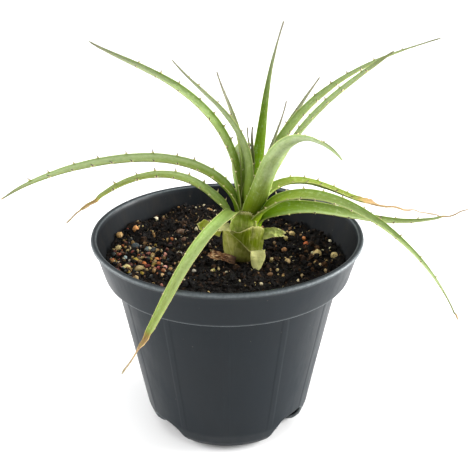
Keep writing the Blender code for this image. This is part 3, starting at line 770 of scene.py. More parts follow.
def channel(points, side, up, half, curl, thick, edge, lift, sunk=0.0):
    """Closed sections of a channelled blade, (stations, 2 * (ACROSS + 1), 3), with the across
    and upper marks. The mid surface of a section is an arc of radius half / curl; the two
    faces lie thick / 2 above and below it, thinning to the edge share at the margins. All of
    it is raised by lift and lowered by the sunk share of its depth."""
    v = np.linspace(-1, 1, ACROSS + 1)
    v = np.concatenate([v[::-1], v])[None, :]
    sign = np.concatenate([np.ones(ACROSS + 1), -np.ones(ACROSS + 1)])[None, :]
    radius = (half / curl)[:, None]
    t = sign * thick[:, None] / 2 * (1 - (1 - edge) * v * v)
    f = curl[:, None] * v
    x = (radius - t) * np.sin(f)
    depth = np.reshape(sunk, (-1, 1)) * radius * (1 - np.cos(curl[:, None]))
    h = radius - (radius - t) * np.cos(f) + lift(v) - depth
    grid = points[:, None] + x[..., None] * side[:, None] + h[..., None] * up[:, None]
    return grid, np.broadcast_to(v, x.shape), np.broadcast_to((sign + 1) / 2, x.shape)


def spines(body, foot, out, along, tall, rng, share=0.0):
    """Hooked spines on a margin, at shares of a leaf's length. At the height u (0..1) the
    middle is foot + out * tall * u + along * tall * hook * u^2, and the section is an ellipse
    that shrinks as (1 - u)^0.8, drawn out along the margin at the foot."""
    n = len(foot)
    if n == 0:
        return
    u = np.array([0.0, 0.14, 0.42, 0.72, 0.93])
    sides = 6
    a = np.linspace(0, 2 * np.pi, sides, endpoint=False)
    hook = rng.uniform(0.15, 0.55, n)
    lean = rng.normal(0, 0.12, n)
    flat = np.cross(out, along)
    flat /= np.linalg.norm(flat, axis=1, keepdims=True)
    tall = tall[:, None, None]
    middle = (foot[:, None] + out[:, None] * (tall * (u[None, :, None] - 0.08))
              + along[:, None] * (tall * hook[:, None, None] * u[None, :, None] ** 2)
              + flat[:, None] * (tall * lean[:, None, None] * u[None, :, None]))
    wide = 0.19 * (1 - u) ** 0.8 + 0.03
    long = 0.17 * (1 - u) ** 0.8 + 0.34 * (1 - u) ** 5 + 0.02
    ring = (middle[:, :, None]
            + flat[:, None, None] * (wide[:, None] * np.cos(a))[None, :, :, None] * tall[..., None]
            + along[:, None, None] * (long[:, None] * np.sin(a))[None, :, :, None]
            * tall[..., None])
    tip = (foot + out * tall[:, :, 0] * 0.92 + along * tall[:, :, 0] * hook[:, None]
           + flat * tall[:, :, 0] * lean[:, None])
    points = np.concatenate([ring.reshape(n, -1, 3), foot[:, None], tip[:, None]], 1)
    heights = np.concatenate([np.repeat(u, sides), [0.0, 1.0]])
    k = len(heights)
    body.add(points, copies(n, k, tube_faces(len(u), sides)), 1,
             height=np.tile(heights, n), share=np.repeat(share + np.zeros(n), k))


def build_leaf(row, finishes, rng):
    """One leaf: the CAD's midrib, pitch, roll and width formulas on a fine grid. The width is
    (1 - s^(1.2 power))^(1.5 / power) of the leaf's own, s being the share of its length, with a
    broader clasping base. Margins are slightly wavy, dry parts are crumpled and shrunk, and
    there is a row of spines on each margin."""
    name, (seat, az0, az1), z0, r0, sheath, length, pitches, width, power, roll0, roll1 = row
    dry_from, bloom, painted_half_light, spine_size, *palette = LEAF_LOOK[name]
    seed = float(sum(ord(c) for c in name) % 97)
    s = np.linspace(0, 1, STATIONS)
    run = s * length
    cx, cy = axis(z0)
    seat = math.radians(seat)
    start = (cx + r0 * math.cos(seat), cy + r0 * math.sin(seat), z0)
    dry = np.clip((s - dry_from) / max(1e-3, 1.0 - dry_from), 0, 1)
    crumple = smooth(dry * 6)

    def course(k):
        """Azimuth, pitch and roll at the shares k of the length."""
        return (az0 + (az1 - az0) * k, 90 + (four(pitches, k) - 90) * smooth(k * length / sheath),
                (roll0 + (roll1 - roll0) * k) * smooth(k * length / ROLL_RAMP))

    azimuth, pitch, roll = course(s)
    roll = roll + crumple * 40 * drift(run / 7.0, seed, 0, 3)
    _, t, side, up = midrib(start, azimuth, pitch, roll, length)
    coarse = np.linspace(0, 1, CAD_STATIONS)
    knots, heads, _, _ = midrib(start, *course(coarse), length)
    points = through_knots(knots, heads * length / (CAD_STATIONS - 1), s)
    sway = crumple * (1 - 0.4 * s)
    points = points + side * (sway * 0.9 * drift(run / 5.0, seed, 1, 4))[:, None]
    points = points + up * (sway * 0.7 * drift(run / 4.0, seed, 2, 8))[:, None]
    clasp = 1.0 - smooth(run / WAIST_RAMP)
    breadth = LEAF_TIP + (width - LEAF_TIP) * (1 + CLASP * clasp) * (
        1 - s ** (1.2 * power)) ** (1.5 / power)
    breadth = breadth * (1 + 0.03 * drift(run / 9.0, seed, 2, 5))
    if name in THREADS:
        thin_from, over, left = THREADS[name]
        breadth = breadth * (1 - (1 - left) * smooth((s - thin_from) / over))
    breadth = np.maximum(breadth, TIP_WIDE * (1 - 0.6 * smooth((s - 0.985) / 0.015)))
    hug = np.minimum(1.35, breadth / 2 / r0)
    curl = hug + (LEAF_CURL - hug) * smooth(run / CURL_RAMP)
    curl = curl * (1 + 0.5 * crumple) * (0.4 + 0.6 * smooth((breadth - 0.9) / 1.4))
    thick = LEAF_THICK * (1 - (1 - LEAF_EDGE) * s)
    thick = np.where(breadth < 1.5, np.minimum(0.6, 0.8 * breadth), thick)
    half = breadth / 2

    def lift(v):
        wave = 0.10 * drift(run[:, None] / 6.0, v * 1.2 + seed, 0, 6)
        crease = 0.35 * crumple[:, None] * drift(run[:, None] / 1.6, v * 2.0, seed, 7)
        return (wave + crease) * np.minimum(1.0, half[:, None] / 2.0)

    grid, v, upper = channel(points, side, up, half, curl, thick, LEAF_EDGE, lift,
                             LEAF_SUNK * smooth(run / SUNK_RAMP))
    palette = tints(*palette) * np.array(LEAF_DEPTH)[:, None]
    tint = np.stack([np.interp(s, PALETTE_AT, light) for light in palette.T], -1)
    body = Body()
    # side carries the painted light and shade on the halves of the upper face
    body.rings(grid, tint, share=s[:, None], across=v, upper=upper, run=run[:, None],
               dry=dry[:, None], seed=seed, bloom=bloom, side=painted_half_light,
               grey=GREY_TIPS.get(name, 0.0))
    if spine_size > 0:
        for hand in (1, -1):
            at = [SPINE_FIRST + hand * 0.8]
            while at[-1] < min(0.88, dry_from) * length:
                gap = SPINE_GAP_BASE + (SPINE_GAP_TIP - SPINE_GAP_BASE) * (at[-1] / 90.0) ** 0.7
                at.append(at[-1] + gap * rng.uniform(0.75, 1.25))
            at = np.array(at[1:-1])
            k = at / length * (STATIONS - 1)
            i = np.floor(k).astype(int)
            w = (k - i)[:, None]
            col = 0 if hand > 0 else ACROSS
            low = 2 * ACROSS + 1 if hand > 0 else ACROSS + 1
            rim = (grid[:, col] + grid[:, low]) / 2
            foot = rim[i] * (1 - w) + rim[i + 1] * w
            bend = curl[i][:, None]
            out = hand * side[i] * np.cos(bend) + up[i] * np.sin(bend)
            tall = SPINE_TALL * spine_size * (0.55 + 0.45 * smooth(at / 35)) * rng.uniform(
                0.8, 1.15, len(at))
            tall = tall * (0.45 + 0.55 * smooth(half[i] / 2.2))
            spines(body, foot, out, t[i], tall, rng, at / length)
    return keep(body.build(name + "_blade", finishes), "leaf", name)


# ---------------------------------------------------------------- sheaths, stubs and stem

def bent(values, share):
    """Smooth curve through values evenly spaced over shares 0..1."""
    knots = np.array(values, float)[:, None]
    line = through_knots(knots, np.gradient(knots, axis=0), share.reshape(-1))
    return line.reshape(share.shape)


def build_sheath(row, finishes, rng, across=96, up=36):
    """A cut leaf base round the stem. At the angle share v (-1..1) and the height share u the
    radius is the parabola through its three radii; the top and lower edges are smooth curves
    through their five heights, and the top is finely ragged."""
    name, azimuth, span, aside, r_low, r_mid, r_top, tops, lows = row
    v = np.linspace(-1, 1, across + 1)[:, None]
    u = np.linspace(0, 1, up + 1)
    u = np.concatenate([u, u[::-1]])[None, :]
    sign = np.concatenate([np.ones(up + 1), -np.ones(up + 1)])[None, :]
    a = np.radians(azimuth + span * v)
    top = bent(tops, (v + 1) / 2)
    top = top + 0.25 * drift(v * 9, 0, 0, 11) + 0.12 * drift(v * 40, 0, 0, 12)
    low = bent(lows, (v + 1) / 2)
    z = low + (np.maximum(top, low + 0.6) - low) * u
    w = (z - min(lows)) / (max(tops) - min(lows))
    r = r_low * (1 - w) * (1 - 2 * w) + 4 * r_mid * w * (1 - w) + r_top * w * (2 * w - 1)
    r = r + 0.22 * drift(a * 5, z / 5, 0, 13) + 0.07 * drift(a * 26, z / 9, 0, 14)
    r = r + sign * SHEATH_THICK / 2 * (1 - 0.6 * u * u) * (1 - 0.5 * v * v)
    cx, cy = axis(z)
    grid = np.stack([cx - aside + r * np.cos(a), cy + r * np.sin(a), z], -1)
    body = Body()
    rim = smooth((u - 0.90) / 0.1) * 0.8 + smooth((np.abs(v) - 0.96) / 0.04) * 0.6
    if name == "sheath_wrap":        # pale along its lower edge too, less so at the top right
        rim = rim * (1 - 0.5 * smooth(v / 0.3)) + 0.7 * smooth((0.09 - u) / 0.07)
    if name == "sheath_barrel":      # a pale fold runs down across it
        # known fault: above the share 0.9 this power is no number, and neither is the rim
        # mark there, which the render takes as 0, so the pale top edge isn't drawn
        fold = np.where(u > 0.25, -0.36 + 0.30 * (0.9 - u) ** 1.4, -9)
        rim = rim + 0.6 * np.exp(-((v - fold) / 0.012) ** 2)
    # the foot mark is painted shade, darkest at the sheath's lowest part
    body.rings(grid, tints(SHEATH_TINT[name]), share=u, across=v, rim=np.clip(rim, 0, 1),
               seed=azimuth * 0.1, foot=0.75 * smooth((84.5 - z) / 4.0))
    if name == "sheath_front":
        at = np.linspace(0.16, 0.90, 15)
        cols = np.round(at * across).astype(int)
        foot = (grid[cols, up] + grid[cols, up + 1]) / 2
        away = foot - np.stack([*axis(foot[:, 2]), foot[:, 2]], -1)
        away /= np.linalg.norm(away, axis=1, keepdims=True)
        run = grid[np.minimum(cols + 1, across), up] - grid[cols - 1, up]
        run /= np.linalg.norm(run, axis=1, keepdims=True)
        out = np.cross(away, run)
        out *= np.sign(out[:, 2:3])
        spines(body, foot, out, run, np.full(len(at), RIM_SPINE_TALL), rng)
    return keep(body.build(name + "_skin", finishes), "sheath", name)


def build_stub(row, finishes):
    """A short cut blade: a shallow channel that widens or narrows to a ragged end, the more
    uneven the more it is crinkled. A narrow one is rounded off at the end."""
    name, start, az0, az1, p0, p1, length, w0, w1, turn = row
    s = np.linspace(0, 1, 49)
    seed = float(sum(ord(c) for c in name) % 89)
    crinkle = STUB_CRINKLE.get(name, 0.6)
    pitch = p0 + (p1 - p0) * smooth(s)
    roll = turn + crinkle * 14 * drift(s * 3, seed, 0, 21)
    points, t, side, up = midrib(start, az0 + (az1 - az0) * s, pitch, roll, length)
    half = (w0 + (w1 - w0) * s ** 3) / 2
    half = half * (1 + 0.10 * crinkle * drift(s * 8, seed, 0, 22))
    half = half * (1 - 0.55 * smooth((s - 0.86) / 0.14) * (w0 < 5))

    def lift(v):
        return crinkle * (0.45 * drift(s[:, None] * 4, v * 1.5, seed, 23)
                          + 0.18 * drift(s[:, None] * 14, v * 4, seed, 24)) * smooth(
                              s[:, None] / 0.25)

    grid, v, _ = channel(points, side, up, half, np.full(len(s), STUB_CURL),
                         STUB_THICK * (1 - 0.3 * s), 0.3, lift)
    s = s[:, None]
    ragged = smooth((s - 0.8) / 0.2) * 0.8 * drift(v * 4, seed, 0, 25)
    rim = np.maximum(smooth((np.abs(v) - 0.86) / 0.14), smooth((s - 0.9) / 0.1)) * 0.7
    body = Body()
    body.rings(grid + t[:, None] * ragged[..., None], tints(STUB_TINT[name]), share=s, across=v,
               rim=rim, run=s * length, seed=seed)
    slot = "leaf_dried" if name == "leaf_dried" else "stub"
    return keep(body.build(name + "_skin", finishes), slot, name)


def build_stem(finish):
    """The stem: rings of the tabled radius about the leaning axis, with rough leaf scars."""
    z = np.concatenate([np.linspace(71, 97, 80), np.linspace(97.5, 112, 30)])
    r = np.interp(z, [k[0] for k in STEM], [k[1] for k in STEM])
    a = np.linspace(0, 2 * np.pi, 72, endpoint=False)[None, :]
    z2 = z[:, None] + 0 * a
    r2 = r[:, None] * (1 + 0.05 * drift(np.cos(a) * 2.2, np.sin(a) * 2.2, z2 / 1.6, 31)
                       + 0.03 * drift(np.cos(a) * 7, np.sin(a) * 7, z2 / 0.8, 32))
    cx, cy = axis(z2)
    grid = np.stack([cx + r2 * np.cos(a), cy + r2 * np.sin(a), z2], -1)
    body = Body()
    body.rings(grid)
    return keep(body.build("stem_foot", [finish]), "stem", "stem")


# ---------------------------------------------------------------- pot

def rounded(points, radius, step=4.0):
    """A polyline with its corners replaced by small parabolas, and long runs divided."""
    points = [np.asarray(p, float) for p in points]
    line = [points[0]]
    t = np.linspace(0, 1, 5)[:, None]
    for a, b, c in zip(points, points[1:], points[2:]):
        la, lc = np.linalg.norm(b - a), np.linalg.norm(c - b)
        p = b + (a - b) / la * min(radius, la * 0.42)
        q = b + (c - b) / lc * min(radius, lc * 0.42)
        line.extend((1 - t) ** 2 * p + 2 * t * (1 - t) * b + t ** 2 * q)
    line.append(points[-1])
    out = [line[0]]
    for a, b in zip(line, line[1:]):
        k = max(1, int(np.ceil(np.linalg.norm(b - a) / step)))
        out.extend(a + (b - a) * (j / k) for j in range(1, k + 1))
    return np.array(out)


def notch_height(angle):
    """Height of the wall's lower edge at each angle: 0 on the feet, and over a notch the low
    height plus the rest times 1 - |v|^4, v being -1..1 across the notch."""
    low = np.zeros_like(angle)
    for middle, half, tall in NOTCHES:
        d = np.degrees((angle - math.radians(middle) + np.pi) % (2 * np.pi) - np.pi) / half
        inside = np.clip(1 - np.abs(d) ** 4, 0, 1)
        ramp = smooth((1.03 - np.abs(d)) / 0.06)
        low = np.maximum(low, ramp * (NOTCH_LOW + (tall - NOTCH_LOW) * inside))
    return low


def build_pot(finish, segments=720):
    """The pot's wall: its rounded profile carried round the axis. Low down the heights are
    squeezed to lie between the lower edge at that angle and SQUEEZE_TO, which makes the
    drainage notches. Flat ribs stand a little proud of the wall under the collar. The floor is
    a disc of its own, cut back at the notches."""
    a = np.linspace(-np.pi, np.pi, segments, endpoint=False)[None, :]
    low = notch_height(a)
    outer = rounded(POT_OUT[1:], 1.0)
    inner = rounded(POT_IN, 0.8)
    line = np.concatenate([outer, inner])
    r0, z0 = line[:, :1], line[:, 1:]
    is_inner = (np.arange(len(line)) >= len(outer))[:, None]
    floor_in = np.where(is_inner, FLOOR_THICK, 0.0)
    foot = np.maximum(low, floor_in)
    share = np.clip((z0 - floor_in) / (SQUEEZE_TO - floor_in), 0, None)
    z = np.where(z0 < SQUEEZE_TO, foot + share * (SQUEEZE_TO - foot), z0 + 0 * a)
    top = np.argmax(outer[:, 1]) + 1
    r_out = np.interp(z, outer[:top, 1], outer[:top, 0])
    r_in = np.interp(z, inner[::-1, 1], inner[::-1, 0])
    r = np.where(z0 < SQUEEZE_TO, np.where(is_inner, r_in, r_out), r0 + 0 * a)
    # ribs on the outer wall
    rib = np.zeros_like(r)
    for k in range(RIBS):
        d = (a - math.radians(-90 + 360.0 * k / RIBS) + np.pi) % (2 * np.pi) - np.pi
        rib = np.maximum(rib, smooth((RIB_HALF - np.abs(d) * r) / 0.5))
    tall = smooth((z - RIB_LOW) / 5.0) * (z < RIB_HIGH + 0.6)
    r = r + np.where(is_inner, 0.0, rib * tall * RIB_SHOWN)
    # the thin wall is never quite round
    wobble = 0.35 * np.cos(2 * a + 0.4) + 0.25 * np.cos(3 * a - 0.6)
    r = r + wobble * smooth((z - 40) / 50)
    r = r + 0.05 * drift(np.cos(a) * 6, np.sin(a) * 6, z / 9, 41)
    grid = np.stack([r * np.cos(a), r * np.sin(a), z + 0 * a], -1)
    # close the loop under the lower edge with a rounded lip
    lip = (grid[-1] + grid[0]) / 2 - np.array([0, 0, 1.0]) * np.where(low > 0.5, 0.25, 0.0).T
    lip[:, 2] = np.maximum(lip[:, 2], 0.0)
    grid = np.concatenate([grid, lip[None]])
    rows, cols = grid.shape[:2]
    # marks: painted highlight lines at the rim, the collar's step and the notch lips
    edge = np.zeros((rows, cols))
    inside = np.zeros((rows, cols))
    # the inside wall: painted shade darkens it in the finish, which also lays earth stains there
    inside[:-1] = np.where(is_inner, smooth((92.2 - z0) / 2.0), 0.0)
    near_rim = np.exp(-((r0 - 59.9) ** 2 + (z0 - 92.2) ** 2) / 0.6)
    inner_rim = 0.9 * np.exp(-((r0 - 57.6) ** 2 + (z0 - 92.6) ** 2) / 0.16)
    collar = 0.8 * np.exp(-((r0 - 54.2) ** 2 + (z0 - 75.6) ** 2) / 0.30)
    edge[:-1] = np.clip(near_rim + inner_rim + collar, 0, 1)
    # painted highlight along the notch lips
    edge[-1] = np.where(low > 0.5, 1.0, 0.1)
    edge[0] = np.where(low > 0.5, 1.0, 0.0)[0]
    body = Body()
    body.add(grid, [loop_faces(rows, cols, closed=True)], edge=edge.reshape(-1),
             inside=inside.reshape(-1))
    # floor
    cut = np.where(low[0] > 0.3, NOTCH_INNER, 29.3)
    shares = np.array([0.12, 0.5, 0.92, 1.0, 1.0, 0.92, 0.5, 0.12])[:, None]
    heights = np.array([0.0, 0.0, 0.0, 0.25, 1.55, 1.8, 1.8, 1.8])[:, None]
    disc = np.stack([shares * cut * np.cos(a[0]), shares * cut * np.sin(a[0]),
                     heights + 0 * a], -1)
    body.rings(disc, edge=0.0, inside=1.0)
    return keep(body.build("pot_shell", [finish]), "pot", "pot")


# ---------------------------------------------------------------- soil and what lies on it

def soil_height(x, y):
    """Top of the soil: higher at the left and the back, heaped up at two places, with lumps."""
    z = SOIL_Z - 0.030 * x + 0.020 * y
    z = z + 1.6 * np.exp(-((x + 22) ** 2 + (y - 26) ** 2) / 260)
    z = z + 3.1 * np.exp(-((x + 16) / 12) ** 4 - ((y - 45) / 13) ** 2)
    z = z + 2.2 * np.exp(-((x + 44) ** 2 + (y - 29) ** 2) / 70)
    z = z + 0.55 * np.sin(0.31 * x + 1.0) * np.cos(0.27 * y + 0.4)
    return z + 0.35 * np.sin(0.55 * x - 0.47 * y)


def ground(x, y):
    """The soil with its crumbs: the smooth top plus beds of grains 4, 2 and 1.1 mm apart and
    soft hollows."""
    z = soil_height(x, y) - SOIL_SUNK
    z = z + 1.3 * grains(x + 0.8 * drift(x / 3, y / 3, 0, 51), y, 4.0, 52)
    z = z + 0.75 * grains(x, y + 0.5 * drift(x / 2, y / 2, 0, 53), 2.1, 54)
    z = z + 0.40 * grains(x, y, 1.15, 55)
    return z + 1.1 * layered(x / 9, y / 9, 0, 56, 3)


def soil_wall(z):
    """Radius of the soil where it meets the pot at the height z."""
    return np.where(z > 76.6, 52.3 + (z - 77.0) * 3.7 / 13.2, 47.9 + (z - 75.3) * 3.2)


def build_soil(finish, segments=440, rings=118):
    """Closed body: rings up the inside of the pot, set back at the drainage notches, then
    rings across the rough top."""
    a = np.linspace(-np.pi, np.pi, segments, endpoint=False)
    x, y = np.cos(a), np.sin(a)
    reach = np.full(segments, 53.0)
    for _ in range(4):
        reach = soil_wall(soil_height(x * reach, y * reach)) + 0.9

    def ring(r, z):
        return np.stack([r * x, r * y, np.full(segments, float(z))], -1)

    brim = np.interp(SOIL_BACK_TO, [z for _, z in SOIL_WALL], [r for r, _ in SOIL_WALL])
    back = np.where(notch_height(a) > 1.0, NOTCH_INNER - 0.5, np.inf)
    wall = [ring(np.minimum(r, back), z) for r, z in SOIL_WALL if z < SOIL_BACK_TO]
    wall += [ring(np.minimum(brim, back), SOIL_BACK_TO), ring(brim, SOIL_BACK_TO)]
    wall += [ring(r, z) for r, z in SOIL_WALL if z > SOIL_BACK_TO]
    shares = np.concatenate([[1.0], np.linspace(0.985, 0.02, rings)])
    gx, gy = shares[:, None] * reach * x, shares[:, None] * reach * y
    grid = np.concatenate([np.stack(wall), np.stack([gx, gy, ground(gx, gy)], -1)])
    body = Body()
    body.rings(grid)
    return keep(body.build("soil_bed", [finish]), "soil", "soil")


def pebble(rings, sides):
    """Points of a ball on a coarse grid, a few rings and two poles, in the order of
    tube_faces."""
    p = np.linspace(-np.pi / 2, np.pi / 2, rings + 2)[1:-1, None]
    a = np.linspace(0, 2 * np.pi, sides, endpoint=False)[None, :] + 0.4 * np.arange(rings)[:, None]
    ball = np.stack([np.cos(p) * np.cos(a), np.cos(p) * np.sin(a), np.sin(p) + 0 * a], -1)
    return np.concatenate([ball.reshape(-1, 3), [[0, 0, -1.0], [0, 0, 1.0]]])


def turned(n, rng, tilt):
    """n turns, as matrices: any angle about z, then a tilt about a level axis."""
    first, lean = rng.uniform(0, 2 * np.pi, n), rng.normal(0, tilt, n)
    last = rng.uniform(0, 2 * np.pi, n)
    o, i = np.zeros(n), np.ones(n)

    def about_z(q):
        return np.stack([np.cos(q), -np.sin(q), o, np.sin(q), np.cos(q), o, o, o, i],
                        -1).reshape(n, 3, 3)

    about_x = np.stack([i, o, o, o, np.cos(lean), -np.sin(lean), o, np.sin(lean), np.cos(lean)],
                       -1).reshape(n, 3, 3)
    return about_z(last) @ about_x @ about_z(first)


def scatter(body, x, y, sizes, colours, rng, lumps=0.16, sink=0.3, shape=(4, 7), tilt=0.5):
    """Adds one lumpy grain at each (x, y): a coarse ball times its three radii, each point
    moved in or out a little, turned, and set into the ground."""
    n, points = len(x), pebble(*shape)
    k = len(points)
    rough = 1 + lumps * rng.uniform(-1, 1, (n, k, 1))
    grain = np.einsum("nij,nkj->nki", turned(n, rng, tilt), points * rough * sizes[:, None, :])
    centre = np.stack([x, y, ground(x, y) + sizes[:, 2] * (1 - 2 * sink)], -1)
    body.add(grain + centre[:, None], copies(n, k, tube_faces(*shape)),
             tint=np.repeat(colours, k, 0))


def inside_pot(x, y, margin=1.0):
    """True where a grain lies on the soil, clear of the wall and of the stem."""
    r = np.hypot(x, y)
    stem = np.hypot(x - AXIS_X, y - AXIS_Y) > 6.5
    return (r < soil_wall(soil_height(x, y)) - margin) & stem


GRAVEL = tints((176, 140, 82), (150, 112, 60), (164, 88, 34), (118, 34, 24), (84, 24, 20),
               (184, 116, 98), (196, 188, 168), (40, 54, 60), (20, 25, 29), (150, 124, 30),
               (84, 72, 26), (84, 52, 30), (112, 132, 136), (190, 160, 106), (140, 60, 44))
GRAVEL_ODDS = np.array([12, 10, 8, 11, 8, 3, 6, 12, 12, 6, 5, 9, 4, 7, 8], float)
PALE = tints((214, 190, 128), (190, 158, 96), (226, 212, 170), (150, 110, 60), (112, 78, 40))
BROWNS = tints((12, 8, 6), (22, 15, 10), (38, 26, 17), (62, 42, 26), (100, 70, 44), (18, 15, 14))
BROWN_ODDS = (.26, .24, .18, .12, .06, .14)
FIBRES = tints((56, 40, 27), (92, 68, 45), (150, 122, 88), (34, 24, 18), (190, 168, 134))
FIBRE_ODDS = (.32, .14, .05, .45, .04)
# places tried for each kind of grain, before those off the soil are left out
GRAVEL_TRIES, PALE_TRIES, CRUMB_TRIES, FIBRE_TRIES = 1500, 420, 4600, 1800


def over_disc(tries, rng, radius):
    """Random places round the pot's axis, even over a disc."""
    a, r = rng.uniform(0, 2 * np.pi, tries), radius * np.sqrt(rng.uniform(0, 1, tries))
    return r * np.cos(a), r * np.sin(a)


def build_grit(finish, rng):
    """Loose gravel: dense and many-coloured at the left front, sparse and pale elsewhere."""
    body = Body()
    # the gravel patch at the left front
    x, y = rng.uniform(-55, -14, GRAVEL_TRIES), rng.uniform(-36, 26, GRAVEL_TRIES)
    d = ((x + 38) / 15.5) ** 2 + ((y + 6) / 17.0) ** 2
    on = inside_pot(x, y) & (rng.uniform(0, 1, GRAVEL_TRIES) < 0.62 * np.exp(-d * 1.1))
    x, y = x[on], y[on]
    n = len(x)
    size = rng.lognormal(-0.32, 0.32, n)[:, None] * rng.uniform(0.75, 1.2, (n, 3))
    colour = GRAVEL[rng.choice(len(GRAVEL), n, p=GRAVEL_ODDS / GRAVEL_ODDS.sum())]
    scatter(body, x, y, np.clip(size, 0.35, 1.7), colour * rng.uniform(0.65, 1.05, (n, 1)), rng,
            lumps=0.26)
    # pale grains over the rest
    x, y = over_disc(PALE_TRIES, rng, 54)
    on = inside_pot(x, y)
    x, y = x[on], y[on]
    n = len(x)
    size = rng.lognormal(-0.75, 0.42, n)[:, None] * rng.uniform(0.75, 1.25, (n, 3))
    colour = PALE[rng.integers(0, len(PALE), n)] * rng.uniform(0.6, 1.0, (n, 1))
    scatter(body, x, y, np.clip(size, 0.22, 1.3), colour, rng)
    return keep(body.build("gravel_loose", [finish]), "stone")


PICKED = (  # single stones worth a place: x, y, radius, colour
    (48, 21, 1.0, (236, 224, 190)), (-6, -12, 1.1, (168, 160, 70)),
    (-28, -18, 1.0, (206, 170, 120)), (-43, 23, 1.5, (206, 142, 78)),
    (-29.5, -13.4, 1.1, (146, 42, 40)),
    (-27, -12, 0.9, (214, 160, 146)), (27, -3, 1.3, (202, 172, 118)),
    (-34.5, 36.8, 1.2, (240, 228, 196)), (-31.8, 38.6, 0.9, (222, 200, 150)),
    (-50, 18, 1.5, (190, 150, 90)), (-49.5, 6, 1.5, (196, 174, 116)),
    (-36.6, -7.2, 1.2, (212, 118, 52)), (-45.4, -2.2, 1.0, (160, 178, 178)),
    (30.5, 27.5, 1.5, (214, 186, 124)), (27.5, 23.0, 1.2, (198, 178, 110)),
    (20.8, 24.6, 1.2, (192, 122, 70)), (43.5, -9.5, 0.9, (206, 176, 126)),
    (47.5, 12.0, 0.8, (216, 210, 160)), (26.0, 9.5, 1.3, (170, 116, 70)),
    (23.0, 14.0, 1.0, (150, 100, 60)), (12.5, -33.0, 0.9, (200, 170, 120)),
    (18.5, -40.0, 0.8, (190, 150, 100)), (33.0, -14.0, 1.0, (206, 178, 128)),
    (31.0, -18.5, 0.8, (226, 206, 160)), (-11.0, -38.0, 0.9, (186, 146, 110)),
    (44.0, 27.0, 0.8, (200, 160, 120)), (36.0, 22.0, 1.1, (196, 120, 60)),
)


def build_picked(finish, rng):
    """Single stones a little larger than the gravel."""
    rows = np.array([(x, y, r) for x, y, r, _ in PICKED])
    colours = tints(*(colour for *_, colour in PICKED))
    body = Body()
    size = rows[:, 2:3] * rng.uniform(0.8, 1.15, (len(rows), 3))
    scatter(body, rows[:, 0], rows[:, 1], size, colours, rng, lumps=0.12, shape=(6, 9))
    return keep(body.build("gravel_picked", [finish]), "stone")


def build_crumbs(finish, rng):
    """Crumbs and flakes of peat and bark all over the soil, darker at the back left."""
    x, y = over_disc(CRUMB_TRIES, rng, 55)
    on = inside_pot(x, y, 0.6)
    x, y = x[on], y[on]
    n = len(x)
    size = rng.lognormal(-0.55, 0.45, n)[:, None] * rng.uniform(0.5, 1.4, (n, 3))
    size = np.clip(size, 0.2, 1.7)
    lighter = np.exp(-((x + 24) ** 2 + (y - 24) ** 2) / 500)
    colour = BROWNS[rng.choice(len(BROWNS), n, p=BROWN_ODDS)]
    colour = colour * (rng.uniform(0.3, 1.0, n) * (1 - 0.3 * lighter))[:, None]
    body = Body()
    scatter(body, x, y, size, colour, rng, lumps=0.35, sink=0.25, shape=(2, 5), tilt=0.9)
    return keep(body.build("soil_crumbs", [finish], sharp=True), "soil")


def build_fibres(finish, rng, stations=9, sides=4):
    """Fine roots and fibres, most of them on the heaps at the back left: thin tubes along a
    random bend."""
    x, y = over_disc(FIBRE_TRIES, rng, 52)
    heap = np.exp(-((x + 22) ** 2 / 500 + (y - 30) ** 2 / 400))
    on = inside_pot(x, y, 3.0) & (rng.uniform(0, 1, len(x)) < 0.10 + 0.9 * heap)
    x, y = x[on], y[on]
    n = len(x)
    s = np.linspace(-1, 1, stations)[None, :]
    long = rng.uniform(0.9, 3.6, (n, 1))
    head = rng.uniform(0, 2 * np.pi, (n, 1)) + rng.normal(0, 0.8, (n, 1)) * s
    step = long / (stations - 1) * 2
    px = x[:, None] + np.cumsum(np.cos(head) * step, 1) - long
    py = y[:, None] + np.cumsum(np.sin(head) * step, 1)
    arch = rng.uniform(0.1, 1.3, (n, 1)) * (1 - s * s) + rng.normal(0, 0.35, (n, 1)) * s
    whole = (np.hypot(px, py) < 52.5).all(1)
    px, py, arch = px[whole], py[whole], arch[whole]
    n = len(px)
    path = np.stack([px, py, ground(px, py) + arch + 0.1], -1)
    t = np.gradient(path, axis=1)
    t /= np.linalg.norm(t, axis=-1, keepdims=True)
    side = np.cross(t, np.array([0, 0, 1.0]))
    side /= np.linalg.norm(side, axis=-1, keepdims=True) + 1e-9
    up = np.cross(side, t)
    q = np.linspace(0, 2 * np.pi, sides, endpoint=False)[:, None]
    wide = (rng.uniform(0.07, 0.20, (n, 1)) * (1 - 0.75 * s ** 2))[..., None, None]
    ring = (path[:, :, None] + side[:, :, None] * np.cos(q) * wide
            + up[:, :, None] * np.sin(q) * wide)
    points = np.concatenate([ring.reshape(n, -1, 3), path[:, :1], path[:, -1:]], 1)
    k = points.shape[1]
    colour = FIBRES[rng.choice(len(FIBRES), n, p=FIBRE_ODDS)] * rng.uniform(0.3, 1.0, (n, 1))
    body = Body()
    body.add(points, copies(n, k, tube_faces(stations, sides)), tint=np.repeat(colour, k, 0))
    return keep(body.build("soil_fibres", [finish]), "soil")


STONE_TINT = ((206, 180, 118), (212, 188, 128), (190, 96, 46), (204, 176, 128), (204, 164, 108),
              (92, 62, 42), (58, 70, 76), (46, 54, 60), (186, 160, 54), (214, 196, 128),
              (168, 146, 96), (222, 196, 160), (214, 146, 126), (212, 128, 58))


